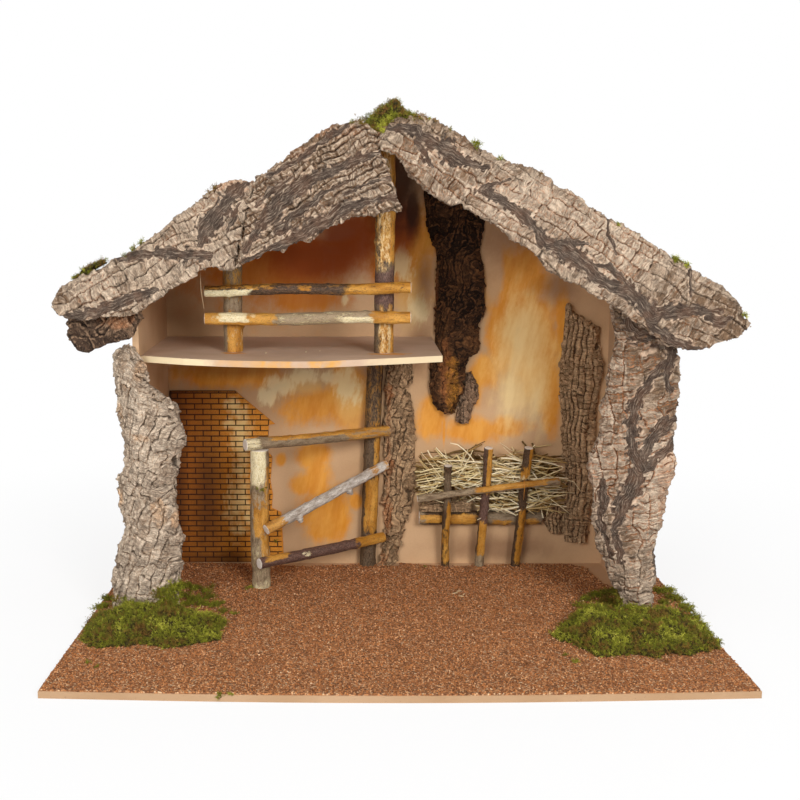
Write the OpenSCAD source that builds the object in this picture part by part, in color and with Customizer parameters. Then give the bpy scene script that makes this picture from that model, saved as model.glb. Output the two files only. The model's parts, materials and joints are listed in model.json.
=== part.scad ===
// Wooden nativity stable: fibreboard house on a grained base, clad with slabs of bark.
// Origin at the centre of the underside of the base board, +X to the right of a viewer
// in front, +Y to the back, +Z up. Millimetres.

/* [Base board] */
// Width of the base board beyond the outer face of a side wall, at the front edge
board_side = 45; // [35:1:70]
// Width of the base board beyond the outer face of a side wall, at the back edge
board_back_side = 35; // [25:1:60]
// Depth of the base board at its sides
board_d = 300; // [280:5:360]
// Thickness of the base board
board_t = 5; // [4:0.5:8]
// How far the front edge bows out in the middle
board_bow = 8; // [0:1:20]
// Thickness of the layer of cork grains
ground_t = 1.5; // [1:0.5:3]
// Width of the bare strip in front of the back wall
ground_bare = 15; // [8:1:25]

/* [House] */
// Clear width between the two side walls
house_w = 400; // [380:5:420]
// Clear depth from the front edge of the side walls to the back wall
house_d = 145; // [130:5:150]
// Height of a side wall at its inner face
wall_h = 275.5; // [265:0.5:300]
// Thickness of every wall
wall_t = 5; // [4:0.5:8]
// Width of the tabs that join the boards
tab_w = 30; // [15:1:40]
// Width of the engraved brick panel
panel_w = 103; // [90:1:110]
// Height of the engraved brick panel
panel_h = 162; // [120:1:180]
// Thickness of the engraved brick panel
panel_t = 2; // [1.5:0.5:3]
// Height of one course of bricks
course_h = 5; // [4:0.5:8]

/* [Roof] */
// Slope of the roof in degrees
roof_pitch = 30; // [28:1:31]
// Thickness of the roof boards
roof_t = 5; // [4:0.5:8]
// Overhang of the roof boards in front of the side walls
roof_front = 20; // [16:1:24]
// Overhang of the roof boards behind the back wall
roof_back = 5; // [0:1:15]
// Overhang of the roof boards past the outer face of a side wall
roof_side = 45; // [30:1:55]

/* [Loft] */
// Height of the top of the loft floor above the base board
loft_h = 213; // [195:1:225]
// Length of the loft floor from the left wall
loft_w = 239; // [225:1:240]
// Thickness of the loft floor
loft_t = 5; // [4:0.5:8]
// Distance of the loft floor's front corners from the front edge of the walls
loft_inset = 9; // [5:1:20]
// How far the front edge of the loft floor bows out
loft_bow = 35; // [0:1:40]
// Radius of the left loft post
loft_post_left_r = 7.7; // [6:0.1:9]
// Radius of the right loft post
loft_post_right_r = 7.8; // [6:0.1:9]
// Radius of the upper loft rail
loft_rail_upper_r = 4.4; // [3:0.1:6]
// Radius of the lower loft rail
loft_rail_lower_r = 4.9; // [3:0.1:6]
// Length of a loft rail
loft_rail_w = 165; // [150:1:180]

/* [Stall fence] */
// Height of the front fence post above the base board
stall_post_h = 123.5; // [100:0.5:140]
// Radius of the front fence post
stall_post_r = 8; // [6:0.1:10]
// Radius of the post under the loft floor
centre_post_r = 7.3; // [6:0.1:8]
// Radius of the top fence rail
stall_top_r = 5.2; // [4:0.1:6]
// Radius of the fence brace
stall_brace_r = 4.7; // [3.5:0.1:5]
// Radius of the bottom fence rail
stall_bottom_r = 4.9; // [3.5:0.1:5]

/* [Hay rack] */
// Distance from the right end of the log to the right wall
log_room = 58; // [56:1:75]
// Radius of the log
log_r = 6.4; // [5:0.1:7]
// Height of the middle of the log above the base board
log_h = 46; // [40:1:60]
// Radius of the left stick
stick_left_r = 3.6; // [3:0.1:5]
// Radius of the middle stick
stick_middle_r = 4.1; // [3:0.1:5]
// Radius of the right stick
stick_right_r = 4.2; // [3:0.1:5]
// Height of the two tall sticks
stick_h = 116; // [105:1:130]
// Height of the short stick
stick_short_h = 99; // [90:1:115]
// How far the sticks lean forward, in degrees
stick_lean = 8; // [5:1:10]
// Radius of the crossbar
crossbar_r = 3.4; // [2.5:0.1:5]
// Height of the heap of hay above the base board
hay_h = 110; // [95:1:120]

/* [Bark] */
// Thickness of the two bark columns
column_t = 15; // [10:0.5:16]
// Width of the left bark column
column_left_w = 56; // [45:1:60]
// Height of the left bark column
column_left_h = 222; // [190:1:235]
// Width of the right bark column
column_right_w = 66; // [55:1:70]
// Thickness of the bark on the back wall
wall_bark_t = 12; // [8:0.5:13]
// Height of the bark slab in the right corner
corner_bark_h = 221; // [180:1:230]
// Clear height between the hay and the foot of the long hanging bark
hanging_gap = 33; // [25:1:45]
// How far the roof bark rises above the roof boards
bark_rise = 20; // [16:1:26]
// How far the front roof bark hangs below the top of the roof boards
bark_drop = 50; // [40:1:56]
// Thickness of the front roof bark
roof_bark_t = 12; // [9:0.5:14]
// Thickness of the bark that lies on the roof
top_bark_t = 10; // [8:0.5:14]
// Depth of the low waves in the bark
bark_wave = 1.6; // [0:0.1:2]

/* [Moss] */
// Height of the two moss mounds
moss_h = 24; // [12:1:28]
// Height of the moss on the ridge above the roof boards
ridge_moss_h = 14; // [8:1:18]

/* [Hidden] */

// Clearances: glued curved faces, tabs in their slots, and the overrun of a cut
glue_gap = 0.3;
tab_gap = 0.1;
overrun = 1;
round_fn = 40;

// Levels and faces that everything else is placed from
back_y = board_d / 2;
wall_y = back_y - wall_t;
front_y = wall_y - house_d;
inner_x = house_w / 2;
outer_x = inner_x + wall_t;
board_w = 2 * (outer_x + board_side);
board_back_w = 2 * (outer_x + board_back_side);
floor_z = board_t;
ground_z = board_t + ground_t;
loft_z = board_t + loft_h;
loft_under_z = loft_z - loft_t;
ridge_z = floor_z + wall_h + inner_x * tan(roof_pitch);
roof_rise = roof_t / cos(roof_pitch);
eave_x = outer_x + roof_side;
roof_y0 = front_y - roof_front;
roof_y1 = back_y + roof_back;
glue_y = wall_y - glue_gap;
tab_l = board_t - tab_gap;

// Height of the underside and of the top of the roof boards at a place across the house
function under_roof(x) = ridge_z - abs(x) * tan(roof_pitch);
function over_roof(x) = under_roof(x) + roof_rise;

// Small helpers
function lerp(a, b, s) = a + (b - a) * s;
function dome(s) = pow(max(0, sin(180 * s)), 0.6);
function wave(u, v, seed) = (sin(360 * (1.3 * u + 2.1 * v) + 71 * seed)
    + sin(360 * (3.7 * v - 1.9 * u) + 131 * seed)
    + 0.7 * sin(360 * (4.3 * u + 5.9 * v) + 29 * seed)) / 2.7;
function grid(rows, cols, f) = [for (i = [0:rows]) [for (j = [0:cols]) f(j / cols, i / rows)]];

// A closed solid between two grids of points. Seen from the front, the columns of the
// front grid run to the right and its rows run up.
module sheet(front, back) {
    rows = len(front);
    cols = len(front[0]);
    half = rows * cols;
    points = [for (side = [front, back]) for (row = side) for (p = row) p];
    corners = [for (i = [0:rows - 2]) for (j = [0:cols - 2])
        [i * cols + j, i * cols + j + 1, (i + 1) * cols + j, (i + 1) * cols + j + 1]];
    rim = concat(
        [for (j = [0:cols - 1]) j],
        [for (i = [1:rows - 1]) i * cols + cols - 1],
        [for (j = [cols - 2:-1:0]) (rows - 1) * cols + j],
        [for (i = [rows - 2:-1:1]) i * cols]
    );
    faces = concat(
        [for (c = corners) [c[0], c[3], c[1]]],
        [for (c = corners) [c[0], c[2], c[3]]],
        [for (c = corners) [c[0] + half, c[1] + half, c[3] + half]],
        [for (c = corners) [c[0] + half, c[3] + half, c[2] + half]],
        [for (k = [0:len(rim) - 1]) let (a = rim[k], b = rim[(k + 1) % len(rim)]) [a, b, b + half]],
        [for (k = [0:len(rim) - 1]) let (a = rim[k], b = rim[(k + 1) % len(rim)]) [a, b + half, a + half]]
    );
    polyhedron(points, faces);
}

// A plate cut from an outline in X and Z, standing between two depths
module upright(y0, y1) {
    translate([0, y1, 0])
        rotate([90, 0, 0])
            linear_extrude(y1 - y0)
                children();
}

// A round stick from one point to another
module stick(p, q, r1, r2) {
    d = q - p;
    translate(p)
        rotate([0, acos(d[2] / norm(d)), atan2(d[1], d[0])])
            cylinder(h = norm(d), r1 = r1, r2 = r2, $fn = round_fn);
}

// Keeps what lies between two heights
module between(z0, z1) {
    intersection() {
        children();
        translate([-board_w, -board_w, z0])
            cube([2 * board_w, 2 * board_w, z1 - z0]);
    }
}

// Everything above the underside of the roof boards, for cutting what reaches up to them
module above_roof() {
    upright(roof_y0 - overrun, roof_y1 + overrun)
        polygon([
            [-eave_x, under_roof(eave_x)],
            [0, ridge_z],
            [eave_x, under_roof(eave_x)],
            [eave_x, ridge_z + roof_side],
            [-eave_x, ridge_z + roof_side]
        ]);
}

// Tabs: places of their middles along each board
wall_tab_shares = [0.22, 0.78];
back_tab_shares = [-0.6, 0.6];
loft_tab_shares = [0.2, 0.8];

// Outline of the base board, drawn in from its edge by an inset
bow_steps = 12;
function board_outline(inset) = concat(
    [for (k = [0:bow_steps]) let (s = k / bow_steps)
        [lerp(-board_w / 2 + inset, board_w / 2 - inset, s),
         -board_d / 2 - board_bow * sin(180 * s) + inset]],
    [[board_back_w / 2 - inset, back_y - inset], [-board_back_w / 2 + inset, back_y - inset]]
);

// Slots for the tabs of the walls
module wall_slots(gap) {
    for (side = [-1, 1])
        for (s = wall_tab_shares)
            translate([side * (inner_x + wall_t / 2), front_y + house_d * s])
                square([wall_t + 2 * gap, tab_w + 2 * gap], center = true);
    for (s = back_tab_shares)
        translate([inner_x * s, wall_y + wall_t / 2])
            square([tab_w + 2 * gap, wall_t + 2 * gap], center = true);
}

module base_board() {
    color("tan")
        linear_extrude(board_t)
            difference() {
                polygon(board_outline(0));
                wall_slots(tab_gap);
            }
}

// Feet of the sticks that stand in the ground cover
stall_post_x = -inner_x + loft_w * 0.3682;
stall_post_y = front_y + house_d * 0.507;
centre_post_y = glue_y - centre_post_r;
centre_post_foot_x = -inner_x + loft_w * 0.7615;
centre_post_top_x = -inner_x + loft_w * 0.7916;

// The fence rails run from the front post to the post under the loft
fence_run = [centre_post_top_x - stall_post_x, centre_post_y - stall_post_y];
fence_dir = fence_run / norm(fence_run);
fence_out = [fence_dir[1], -fence_dir[0]];
function centre_post_x(z) = lerp(centre_post_foot_x, centre_post_top_x,
    (z - floor_z) / (loft_under_z - floor_z));

// Bark columns: widths of their feet and the room that the ground cover leaves them
column_left_x = -outer_x - column_left_w * 0.3;
column_right_x = outer_x - column_right_w * 0.74;
column_y = front_y - glue_gap;
foot_room = 4;
edge_bare = 1;

// Bare strip along the back wall and the right wall: across as a share of the clear
// width, and depth as a share of the width of the bare strip
bare_shares = [
    [-1, 0.15], [-0.63, 0.4], [-0.4, 0.95], [-0.17, 0.6], [0.06, 0.25],
    [0.17, 0.65], [0.29, 1], [0.62, 0.4], [0.85, 0.55], [0.91, 1.1],
    [0.94, 4.2], [1, 5.6]
];

module ground_cover() {
    color("saddlebrown")
        translate([0, 0, board_t])
            linear_extrude(ground_t)
                difference() {
                    polygon(board_outline(edge_bare));
                    for (side = [-1, 1])
                        translate([side * (inner_x + wall_t / 2), front_y + board_d / 2])
                            square([wall_t + 2 * glue_gap, board_d + 2 * glue_gap], center = true);
                    translate([column_left_x - foot_room, column_y - column_t - foot_room])
                        square([column_left_w + 2 * foot_room, column_t + 2 * foot_room]);
                    translate([column_right_x - foot_room, column_y - column_t - foot_room])
                        square([column_right_w + 2 * foot_room, column_t + 2 * foot_room]);
                    polygon(concat(
                        [for (p = bare_shares) [inner_x * p[0], wall_y - ground_bare * p[1]]],
                        [[inner_x, back_y], [outer_x, back_y], [outer_x, back_y + overrun],
                         [-outer_x, back_y + overrun], [-outer_x, wall_y], [-inner_x, wall_y]]
                    ));
                    translate([strip_x - foot_room, glue_y - wall_bark_t])
                        square([strip_w * 0.5 + foot_room, wall_bark_t + wall_t]);
                    translate([stall_post_x, stall_post_y])
                        circle(r = stall_post_r + glue_gap, $fn = round_fn);
                    translate([centre_post_foot_x, centre_post_y])
                        circle(r = centre_post_r + 2 * glue_gap, $fn = round_fn);
                    for (k = [0:2])
                        translate([stick_foot_x[k], stick_y(stick_r[k], ground_z)])
                            circle(r = stick_r[k] + 2 * glue_gap, $fn = round_fn);
                }
}

module back_wall() {
    color("goldenrod")
        difference() {
            union() {
                upright(wall_y, back_y)
                    polygon([
                        [-outer_x, floor_z], [outer_x, floor_z],
                        [outer_x, under_roof(outer_x)], [0, ridge_z],
                        [-outer_x, under_roof(outer_x)]
                    ]);
                for (s = back_tab_shares)
                    translate([inner_x * s - tab_w / 2, wall_y, floor_z - tab_l])
                        cube([tab_w, wall_t, tab_l + overrun]);
            }
            for (s = loft_tab_shares)
                translate([-inner_x + loft_w * s - tab_w / 2 - tab_gap, wall_y - overrun,
                           loft_under_z - tab_gap])
                    cube([tab_w + 2 * tab_gap, wall_t + 2 * overrun, loft_t + 2 * tab_gap]);
        }
}

module side_wall(side) {
    upright(front_y, wall_y)
        polygon([
            [side * inner_x, floor_z], [side * outer_x, floor_z],
            [side * outer_x, under_roof(outer_x)], [side * inner_x, under_roof(inner_x)]
        ]);
    for (s = wall_tab_shares)
        translate([side * (inner_x + wall_t / 2) - wall_t / 2,
                   front_y + house_d * s - tab_w / 2, floor_z - tab_l])
            cube([wall_t, tab_w, tab_l + overrun]);
}

module side_wall_left() {
    color("burlywood")
        difference() {
            side_wall(-1);
            translate([-outer_x - overrun, front_y + house_d / 2 - tab_w / 2 - tab_gap,
                       loft_under_z - tab_gap])
                cube([wall_t + 2 * overrun, tab_w + 2 * tab_gap, loft_t + 2 * tab_gap]);
        }
}

module side_wall_right() {
    color("burlywood")
        side_wall(1);
}

module roof_board(side) {
    upright(roof_y0, roof_y1)
        polygon([
            [0, ridge_z],
            [side * eave_x, under_roof(eave_x)],
            [side * (eave_x + roof_t * sin(roof_pitch)),
             under_roof(eave_x) + roof_t * cos(roof_pitch)],
            [0, ridge_z + roof_rise]
        ]);
}

module roof_board_left() {
    color("burlywood")
        roof_board(-1);
}

module roof_board_right() {
    color("burlywood")
        roof_board(1);
}

// Brick panel: its broken outline and its mortar lines
panel_shares = [
    [0, 0], [1, 0], [0.98, 0.295], [0.895, 0.32], [0.905, 0.4], [0.885, 0.48],
    [0.905, 0.62], [0.865, 0.65], [0.875, 0.805], [0.93, 0.81], [0.58, 1], [0, 1]
];
mortar_w = 0.8;
mortar_t = 0.5;

module brick_panel() {
    color("peru")
        difference() {
            upright(wall_y - panel_t, wall_y)
                translate([-inner_x + overrun, ground_z])
                    polygon([for (p = panel_shares) [panel_w * p[0], panel_h * p[1]]]);
            for (z = [course_h : course_h : panel_h])
                translate([-inner_x, wall_y - panel_t - overrun, ground_z + z - mortar_w / 2])
                    cube([panel_w + 2 * overrun, overrun + mortar_t, mortar_w]);
        }
}

// Loft floor: how far each place along its front edge is bowed out
loft_bow_shares = [
    [0, 0], [0.15, 0.5], [0.27, 0.77], [0.38, 0.92], [0.5, 1], [0.6, 0.98],
    [0.7, 0.74], [0.8, 0.5], [0.9, 0.25], [1, 0]
];

module loft_floor() {
    color("bisque")
        translate([0, 0, loft_under_z])
            linear_extrude(loft_t)
                union() {
                    polygon(concat(
                        [for (p = loft_bow_shares)
                            [-inner_x + loft_w * p[0], front_y + loft_inset - loft_bow * p[1]]],
                        [[-inner_x + loft_w, wall_y], [-inner_x, wall_y]]
                    ));
                    for (s = loft_tab_shares)
                        translate([-inner_x + loft_w * s - tab_w / 2, wall_y - overrun])
                            square([tab_w, overrun + wall_t]);
                    translate([-outer_x, front_y + house_d / 2 - tab_w / 2])
                        square([wall_t + overrun, tab_w]);
                }
}

// Loft posts stand on the loft floor and carry the roof boards
loft_post_left_x = -inner_x + loft_w * 0.297;
loft_post_left_y = front_y + house_d * 0.244;
loft_post_right_x = -inner_x + loft_w * 0.8075;
loft_post_right_y = front_y + house_d * 0.198;

module loft_post(x, y, r) {
    difference() {
        translate([x, y, loft_z])
            cylinder(h = ridge_z - loft_z, r = r, $fn = round_fn);
        above_roof();
    }
}

module loft_post_left() {
    color("darkgoldenrod")
        loft_post(loft_post_left_x, loft_post_left_y, loft_post_left_r);
}

module loft_post_right() {
    color("darkgoldenrod")
        loft_post(loft_post_right_x, loft_post_right_y, loft_post_right_r);
}

// Loft rails are glued across the front of both posts
loft_run = [loft_post_right_x - loft_post_left_x, loft_post_right_y - loft_post_left_y];
loft_dir = loft_run / norm(loft_run);
loft_out = [loft_dir[1], -loft_dir[0]];
loft_rail_upper_share = [0.34, 0.362];
loft_rail_lower_share = [0.19, 0.202];
loft_rail_start = 21;

module loft_rail(r, share) {
    rise = wall_h - (loft_h - board_t) + inner_x * 0.4;
    near = [loft_post_left_x, loft_post_left_y] + loft_out * (loft_post_left_r + r + glue_gap)
        - loft_dir * loft_rail_start;
    far = [loft_post_right_x, loft_post_right_y] + loft_out * (loft_post_right_r + r + glue_gap)
        - loft_dir * (loft_rail_start + norm(loft_run) - loft_rail_w);
    stick([near[0], near[1], loft_z + rise * share[0]],
          [far[0], far[1], loft_z + rise * share[1]], r, r);
}

module loft_rail_upper() {
    color("darkkhaki")
        loft_rail(loft_rail_upper_r, loft_rail_upper_share);
}

module loft_rail_lower() {
    color("darkkhaki")
        loft_rail(loft_rail_lower_r, loft_rail_lower_share);
}

module stall_post() {
    color("khaki")
        translate([stall_post_x, stall_post_y, floor_z])
            cylinder(h = stall_post_h, r = stall_post_r, $fn = round_fn);
}

module centre_post() {
    color("darkgoldenrod")
        between(floor_z, loft_under_z)
            stick([centre_post_x(floor_z - overrun), centre_post_y, floor_z - overrun],
                  [centre_post_x(loft_under_z + overrun), centre_post_y, loft_under_z + overrun],
                  centre_post_r, centre_post_r);
}

// A fence rail touches the front of both posts, and runs past each by an end
rail_end_near = 6;
rail_end_far = 8;

module stall_rail(r, z_near, z_far, end_near) {
    near = [stall_post_x, stall_post_y] + fence_out * (stall_post_r + r + glue_gap)
        - fence_dir * end_near;
    far = [centre_post_x(z_far), centre_post_y] + fence_out * (centre_post_r + r + glue_gap)
        + fence_dir * rail_end_far;
    stick([near[0], near[1], z_near], [far[0], far[1], z_far], r, r * 0.95);
}

// The top rail lies on the head of the front post
module stall_rail_top() {
    z = floor_z + stall_post_h + glue_gap + stall_top_r;
    near = [stall_post_x, stall_post_y] - fence_dir * (stall_post_r + rail_end_near);
    span = norm(fence_run) + stall_post_r + rail_end_near;
    reach = (centre_post_r + stall_top_r + 2 * glue_gap) * (span + rail_end_far) / span;
    far = [centre_post_x(z), centre_post_y] + fence_out * reach + fence_dir * rail_end_far;
    color("darkkhaki")
        stick([near[0], near[1], z], [far[0], far[1], z], stall_top_r, stall_top_r * 0.95);
}

// Stubs of cut twigs on the brace: places along it
stub_r = 1.5;
stub_l = 4;
brace_stub_shares = [0.24, 0.66];
brace_z_near = floor_z + stall_post_h * 0.45;
brace_z_far = floor_z + stall_post_h * 0.79;

module stall_brace() {
    p = [stall_post_x, stall_post_y] + fence_out * (stall_post_r + stall_brace_r + glue_gap)
        - fence_dir * rail_end_near * 0.3;
    q = [centre_post_x(brace_z_far), centre_post_y]
        + fence_out * (centre_post_r + stall_brace_r + glue_gap) + fence_dir * rail_end_far;
    color("lightgray")
        union() {
            stall_rail(stall_brace_r, brace_z_near, brace_z_far, rail_end_near * 0.3);
            for (s = brace_stub_shares)
                translate([lerp(p[0], q[0], s), lerp(p[1], q[1], s),
                           lerp(brace_z_near, brace_z_far, s)])
                    rotate([0, 150, 0])
                        cylinder(h = stall_brace_r + stub_l, r = stub_r, $fn = round_fn);
        }
}

module stall_rail_bottom() {
    color("sienna")
        stall_rail(stall_bottom_r, floor_z + stall_post_h * 0.215, floor_z + stall_post_h * 0.238,
                   rail_end_near * 1.5);
}

// Hay rack: a log on the back wall, sticks that lean out over it, and a crossbar
log_x = -inner_x + loft_w * 0.959;
log_w = inner_x - log_room - log_x;
log_y = glue_y - log_r;
log_z = floor_z + log_h;
stick_r = [stick_left_r, stick_middle_r, stick_right_r];
stick_foot_shares = [0.2163, 0.4947, 0.7908];
stick_top_shares = [0.2199, 0.539, 0.8582];
stick_foot_x = [for (s = stick_foot_shares) log_x + log_w * s];
stick_top_x = [for (s = stick_top_shares) log_x + log_w * s];
stick_heights = [stick_short_h, stick_h, stick_h];

// Depth of a stick's middle at a height, where it just clears the front of the log
function stick_y(r, z) = log_y - (log_r + r + glue_gap) / cos(stick_lean)
    - (z - log_z) * tan(stick_lean);

module rack_log() {
    color("darkgoldenrod")
        stick([log_x, log_y, log_z], [log_x + log_w, log_y, log_z], log_r, log_r);
}

module rack_stick(k) {
    r = stick_r[k];
    low = floor_z + r * sin(stick_lean) + glue_gap;
    top = floor_z + stick_heights[k];
    stick([stick_foot_x[k], stick_y(r, low), low],
          [stick_top_x[k], stick_y(r, top), top], r, r);
}

module rack_stick_left() {
    color("goldenrod")
        rack_stick(0);
}

module rack_stick_middle() {
    color("goldenrod")
        rack_stick(1);
}

module rack_stick_right() {
    color("goldenrod")
        rack_stick(2);
}

// The crossbar lies on the front of the sticks and rises to the right
crossbar_start = 3;
crossbar_over = 12;
crossbar_z_near = log_z + log_h * 0.5;
crossbar_z_far = log_z + log_h * 0.87;

function crossbar_y(z) = stick_y(stick_right_r, z)
    - (stick_right_r + crossbar_r + glue_gap) / cos(stick_lean);

module rack_crossbar() {
    color("goldenrod")
        stick([log_x - crossbar_start, crossbar_y(crossbar_z_near), crossbar_z_near],
              [log_x + log_w + crossbar_over, crossbar_y(crossbar_z_far), crossbar_z_far],
              crossbar_r, crossbar_r * 0.9);
}

// A strip of bark lies on the log behind the crossbar
rack_bark_w = log_w * 0.408;
rack_bark_h = 11;
rack_bark_t = 9;
rack_bark_z = log_z + log_r + glue_gap;

module rack_bark() {
    y0 = log_y - rack_bark_t * 0.8;
    low = function (u, v) [log_x + overrun + rack_bark_w * u, y0 + rack_bark_t * v, rack_bark_z];
    high = function (u, v) low(u, v)
        + [0, 0, rack_bark_h * (0.6 + 0.4 * dome(v)) * (0.85 + 0.15 * wave(u, v, 5))];
    color("dimgray")
        sheet(grid(4, 10, high), grid(4, 10, low));
}

// Heap of hay behind the sticks: its upper edge across the rack
hay_top_shares = [
    [0, 0.88], [0.15, 0.95], [0.35, 1], [0.6, 0.98], [0.8, 0.97], [1, 0.88]
];
hay_over = 9;

module hay() {
    function hay_x(u) = log_x + overrun + (log_w + hay_over) * u;
    function clear_z(u) = hay_x(u) < log_x + rack_bark_w + 3 * overrun
        ? rack_bark_z + rack_bark_h + glue_gap : log_z + log_r + glue_gap;
    function hay_z(u, v) = lerp(clear_z(u), floor_z + hay_h * lookup(u, hay_top_shares), v);
    function hay_front(z) = stick_y(0, z) + 2 * glue_gap;
    function hay_back(u) = hay_x(u) > log_x + log_w * 0.98
        ? glue_y - wall_bark_t - bark_wave - 2 * overrun : glue_y;
    front = function (u, v) let (z = hay_z(u, v), full = dome(u) * dome(0.12 + 0.76 * v))
        [hay_x(u),
         lerp(hay_back(u) - 3 * overrun, hay_front(z), full * (0.85 + 0.15 * wave(u, v, 3))), z];
    back = function (u, v) [hay_x(u), hay_back(u), hay_z(u, v)];
    color("palegoldenrod")
        sheet(grid(6, 18, front), grid(6, 18, back));
}

// A slab of bark that stands on its end against a flat face: its left and right edge
// are looked up by height
edge_share = 0.45;
module bark_slab(y, z, h, t, left, right, rows, cols, seed) {
    function place(u, v) = lerp(left(v), right(v), u);
    front = function (u, v) [place(u, v),
        y - t * (edge_share + (1 - edge_share) * dome(u)) - bark_wave * wave(u, v, seed),
        z + h * v];
    back = function (u, v) [place(u, v), y, z + h * v];
    sheet(grid(rows, cols, front), grid(rows, cols, back));
}

// Edges of the left column: height, and place across as a share of its width
column_left_edge_share = [
    [0, -0.04], [0.15, -0.09], [0.2, -0.02], [0.26, 0], [0.32, 0.14], [0.42, 0.05],
    [0.52, 0.04], [0.56, 0.14], [0.62, 0.16], [0.7, 0.12], [0.76, 0.07], [0.9, 0.07],
    [0.97, 0.05], [1, 0.2]
];
column_left_far_share = [
    [0, 0.89], [0.13, 0.87], [0.22, 0.95], [0.25, 0.89], [0.29, 1], [0.35, 0.87],
    [0.52, 0.87], [0.6, 0.91], [0.65, 0.95], [0.68, 1.07], [0.72, 0.95], [0.76, 0.96],
    [0.79, 0.88], [0.84, 0.68], [0.87, 0.5], [0.92, 0.5], [0.965, 0.37], [1, 0.34]
];

module bark_column_left() {
    left = function (v) column_left_x + column_left_w * lookup(v, column_left_edge_share);
    right = function (v) column_left_x + column_left_w * lookup(v, column_left_far_share);
    color("rosybrown")
        bark_slab(column_y, floor_z, column_left_h, column_t, left, right, 30, 6, 1);
}

// Edges of the right column
column_right_edge_share = [
    [0, 0.45], [0.075, 0.42], [0.105, 0.36], [0.135, 0.24], [0.18, 0.24], [0.215, 0.15],
    [0.25, 0.11], [0.305, 0.05], [0.43, 0.05], [0.445, -0.02], [0.49, -0.03], [0.55, 0.08],
    [0.615, 0.14], [0.665, 0.11], [0.68, 0.18], [0.755, 0.17], [0.775, 0.21], [0.855, 0.27],
    [0.89, 0.2], [1, 0.15]
];
column_right_far_share = [
    [0, 0.85], [0.1, 0.82], [0.145, 0.85], [0.18, 0.82], [0.23, 0.8], [0.3, 0.88],
    [0.41, 0.94], [0.445, 0.985], [0.485, 1.03], [0.53, 1], [0.69, 1.03], [0.75, 1.03],
    [0.805, 0.985], [0.84, 0.94], [1, 0.85]
];

module bark_column_right() {
    left = function (v) column_right_x + column_right_w * lookup(v, column_right_edge_share);
    right = function (v) column_right_x + column_right_w * lookup(v, column_right_far_share);
    h = under_roof(right(1)) - glue_gap - floor_z;
    color("tan")
        bark_slab(column_y, floor_z, h, column_t, left, right, 32, 6, 2);
}

// Strip of bark beside the centre post
strip_w = 33;
strip_x = -inner_x + loft_w * 0.816;
strip_left_share = [[0, -0.06], [0.2, 0.12], [0.31, 0.03], [0.81, 0.06], [0.92, 0.12], [1, 0.15]];
strip_right_share = [
    [0, 0.39], [0.07, 0.51], [0.18, 0.64], [0.265, 0.88], [0.385, 0.95], [0.475, 0.93],
    [0.62, 0.92], [0.73, 0.85], [0.79, 0.67], [0.84, 0.88], [0.92, 0.82], [1, 0.82]
];

module bark_strip_centre() {
    left = function (v) strip_x + strip_w * lookup(v, strip_left_share);
    right = function (v) strip_x + strip_w * lookup(v, strip_right_share);
    color("dimgray")
        bark_slab(glue_y, floor_z, loft_under_z - glue_gap - floor_z, wall_bark_t * 0.75,
                  left, right, 24, 5, 3);
}

// Long dark bark that hangs on the back wall beside the loft
hanging_w = 52;
hanging_x = -inner_x + loft_w - hanging_w * 0.06;
hanging_z = floor_z + hay_h + hanging_gap;
hanging_room = 7.2;
hanging_h = under_roof(hanging_x + hanging_w * 0.4) - hanging_room - hanging_z;
hanging_left_share = [
    [0, 0.27], [0.035, 0.1], [0.07, 0.08], [0.154, 0.04], [0.24, 0.04], [0.29, 0.115],
    [0.43, 0.135], [0.54, 0.115], [0.635, 0.15], [0.715, 0.115], [0.78, 0], [0.95, -0.11],
    [1, -0.11]
];
hanging_right_share = [
    [0, 0.5], [0.07, 0.575], [0.16, 0.65], [0.205, 0.65], [0.25, 0.71], [0.285, 0.865],
    [0.4, 0.865], [0.46, 1], [0.635, 0.96], [0.715, 0.885], [0.84, 0.94], [0.92, 0.88],
    [1, 0.4]
];
function hanging_right(v) = hanging_x + hanging_w * lookup(v, hanging_right_share);

module bark_hanging() {
    left = function (v) hanging_x + hanging_w * lookup(v, hanging_left_share);
    right = function (v) hanging_right(v);
    color("saddlebrown")
        bark_slab(glue_y, hanging_z, hanging_h, wall_bark_t, left, right, 28, 6, 4);
}

// Short end of bark that hangs beside the foot of the long one
tip_h = 47;
tip_w = 21;
tip_drop = 9;
tip_right_share = [[0, 0.6], [0.32, 0.8], [0.51, 1], [0.83, 0.9], [1, 0.67]];

module bark_hanging_tip() {
    v0 = -tip_drop / hanging_h;
    left = function (v) hanging_right(v0 + tip_h * v / hanging_h) + 2 * glue_gap;
    right = function (v) hanging_x + hanging_w * 0.5 + tip_w * lookup(v, tip_right_share);
    color("sienna")
        bark_slab(glue_y, hanging_z - tip_drop, tip_h, wall_bark_t * 0.8, left, right, 9, 4, 6);
}

// Slab of bark in the right corner, and the chip beside its foot
corner_w = 40;
corner_x = inner_x - corner_w * 1.1;
corner_z = floor_z + corner_bark_h * 0.1;
corner_left_share = [
    [0, 0.22], [0.036, 0.2], [0.335, 0.2], [0.37, 0.125], [0.49, 0.1], [0.61, 0.02],
    [0.73, 0], [0.845, 0.05], [1, 0.1]
];
corner_right_share = [
    [0, 0.77], [0.086, 0.8], [0.68, 0.9], [0.73, 1], [0.82, 0.92], [0.9, 0.875],
    [0.92, 0.75], [0.94, 0.5], [0.97, 0.28], [1, 0.16]
];
function corner_left(v) = corner_x + corner_w * lookup(v, corner_left_share);

module bark_corner() {
    left = function (v) corner_left(v);
    right = function (v) corner_x + corner_w * lookup(v, corner_right_share);
    color("gray")
        bark_slab(glue_y, corner_z, corner_bark_h, wall_bark_t, left, right, 30, 5, 7);
}

chip_w = 19;
chip_h = 28;
chip_rise = 7;
chip_left_share = [[0, 0.45], [0.32, 0.05], [0.9, 0], [1, 0.1]];

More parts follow.
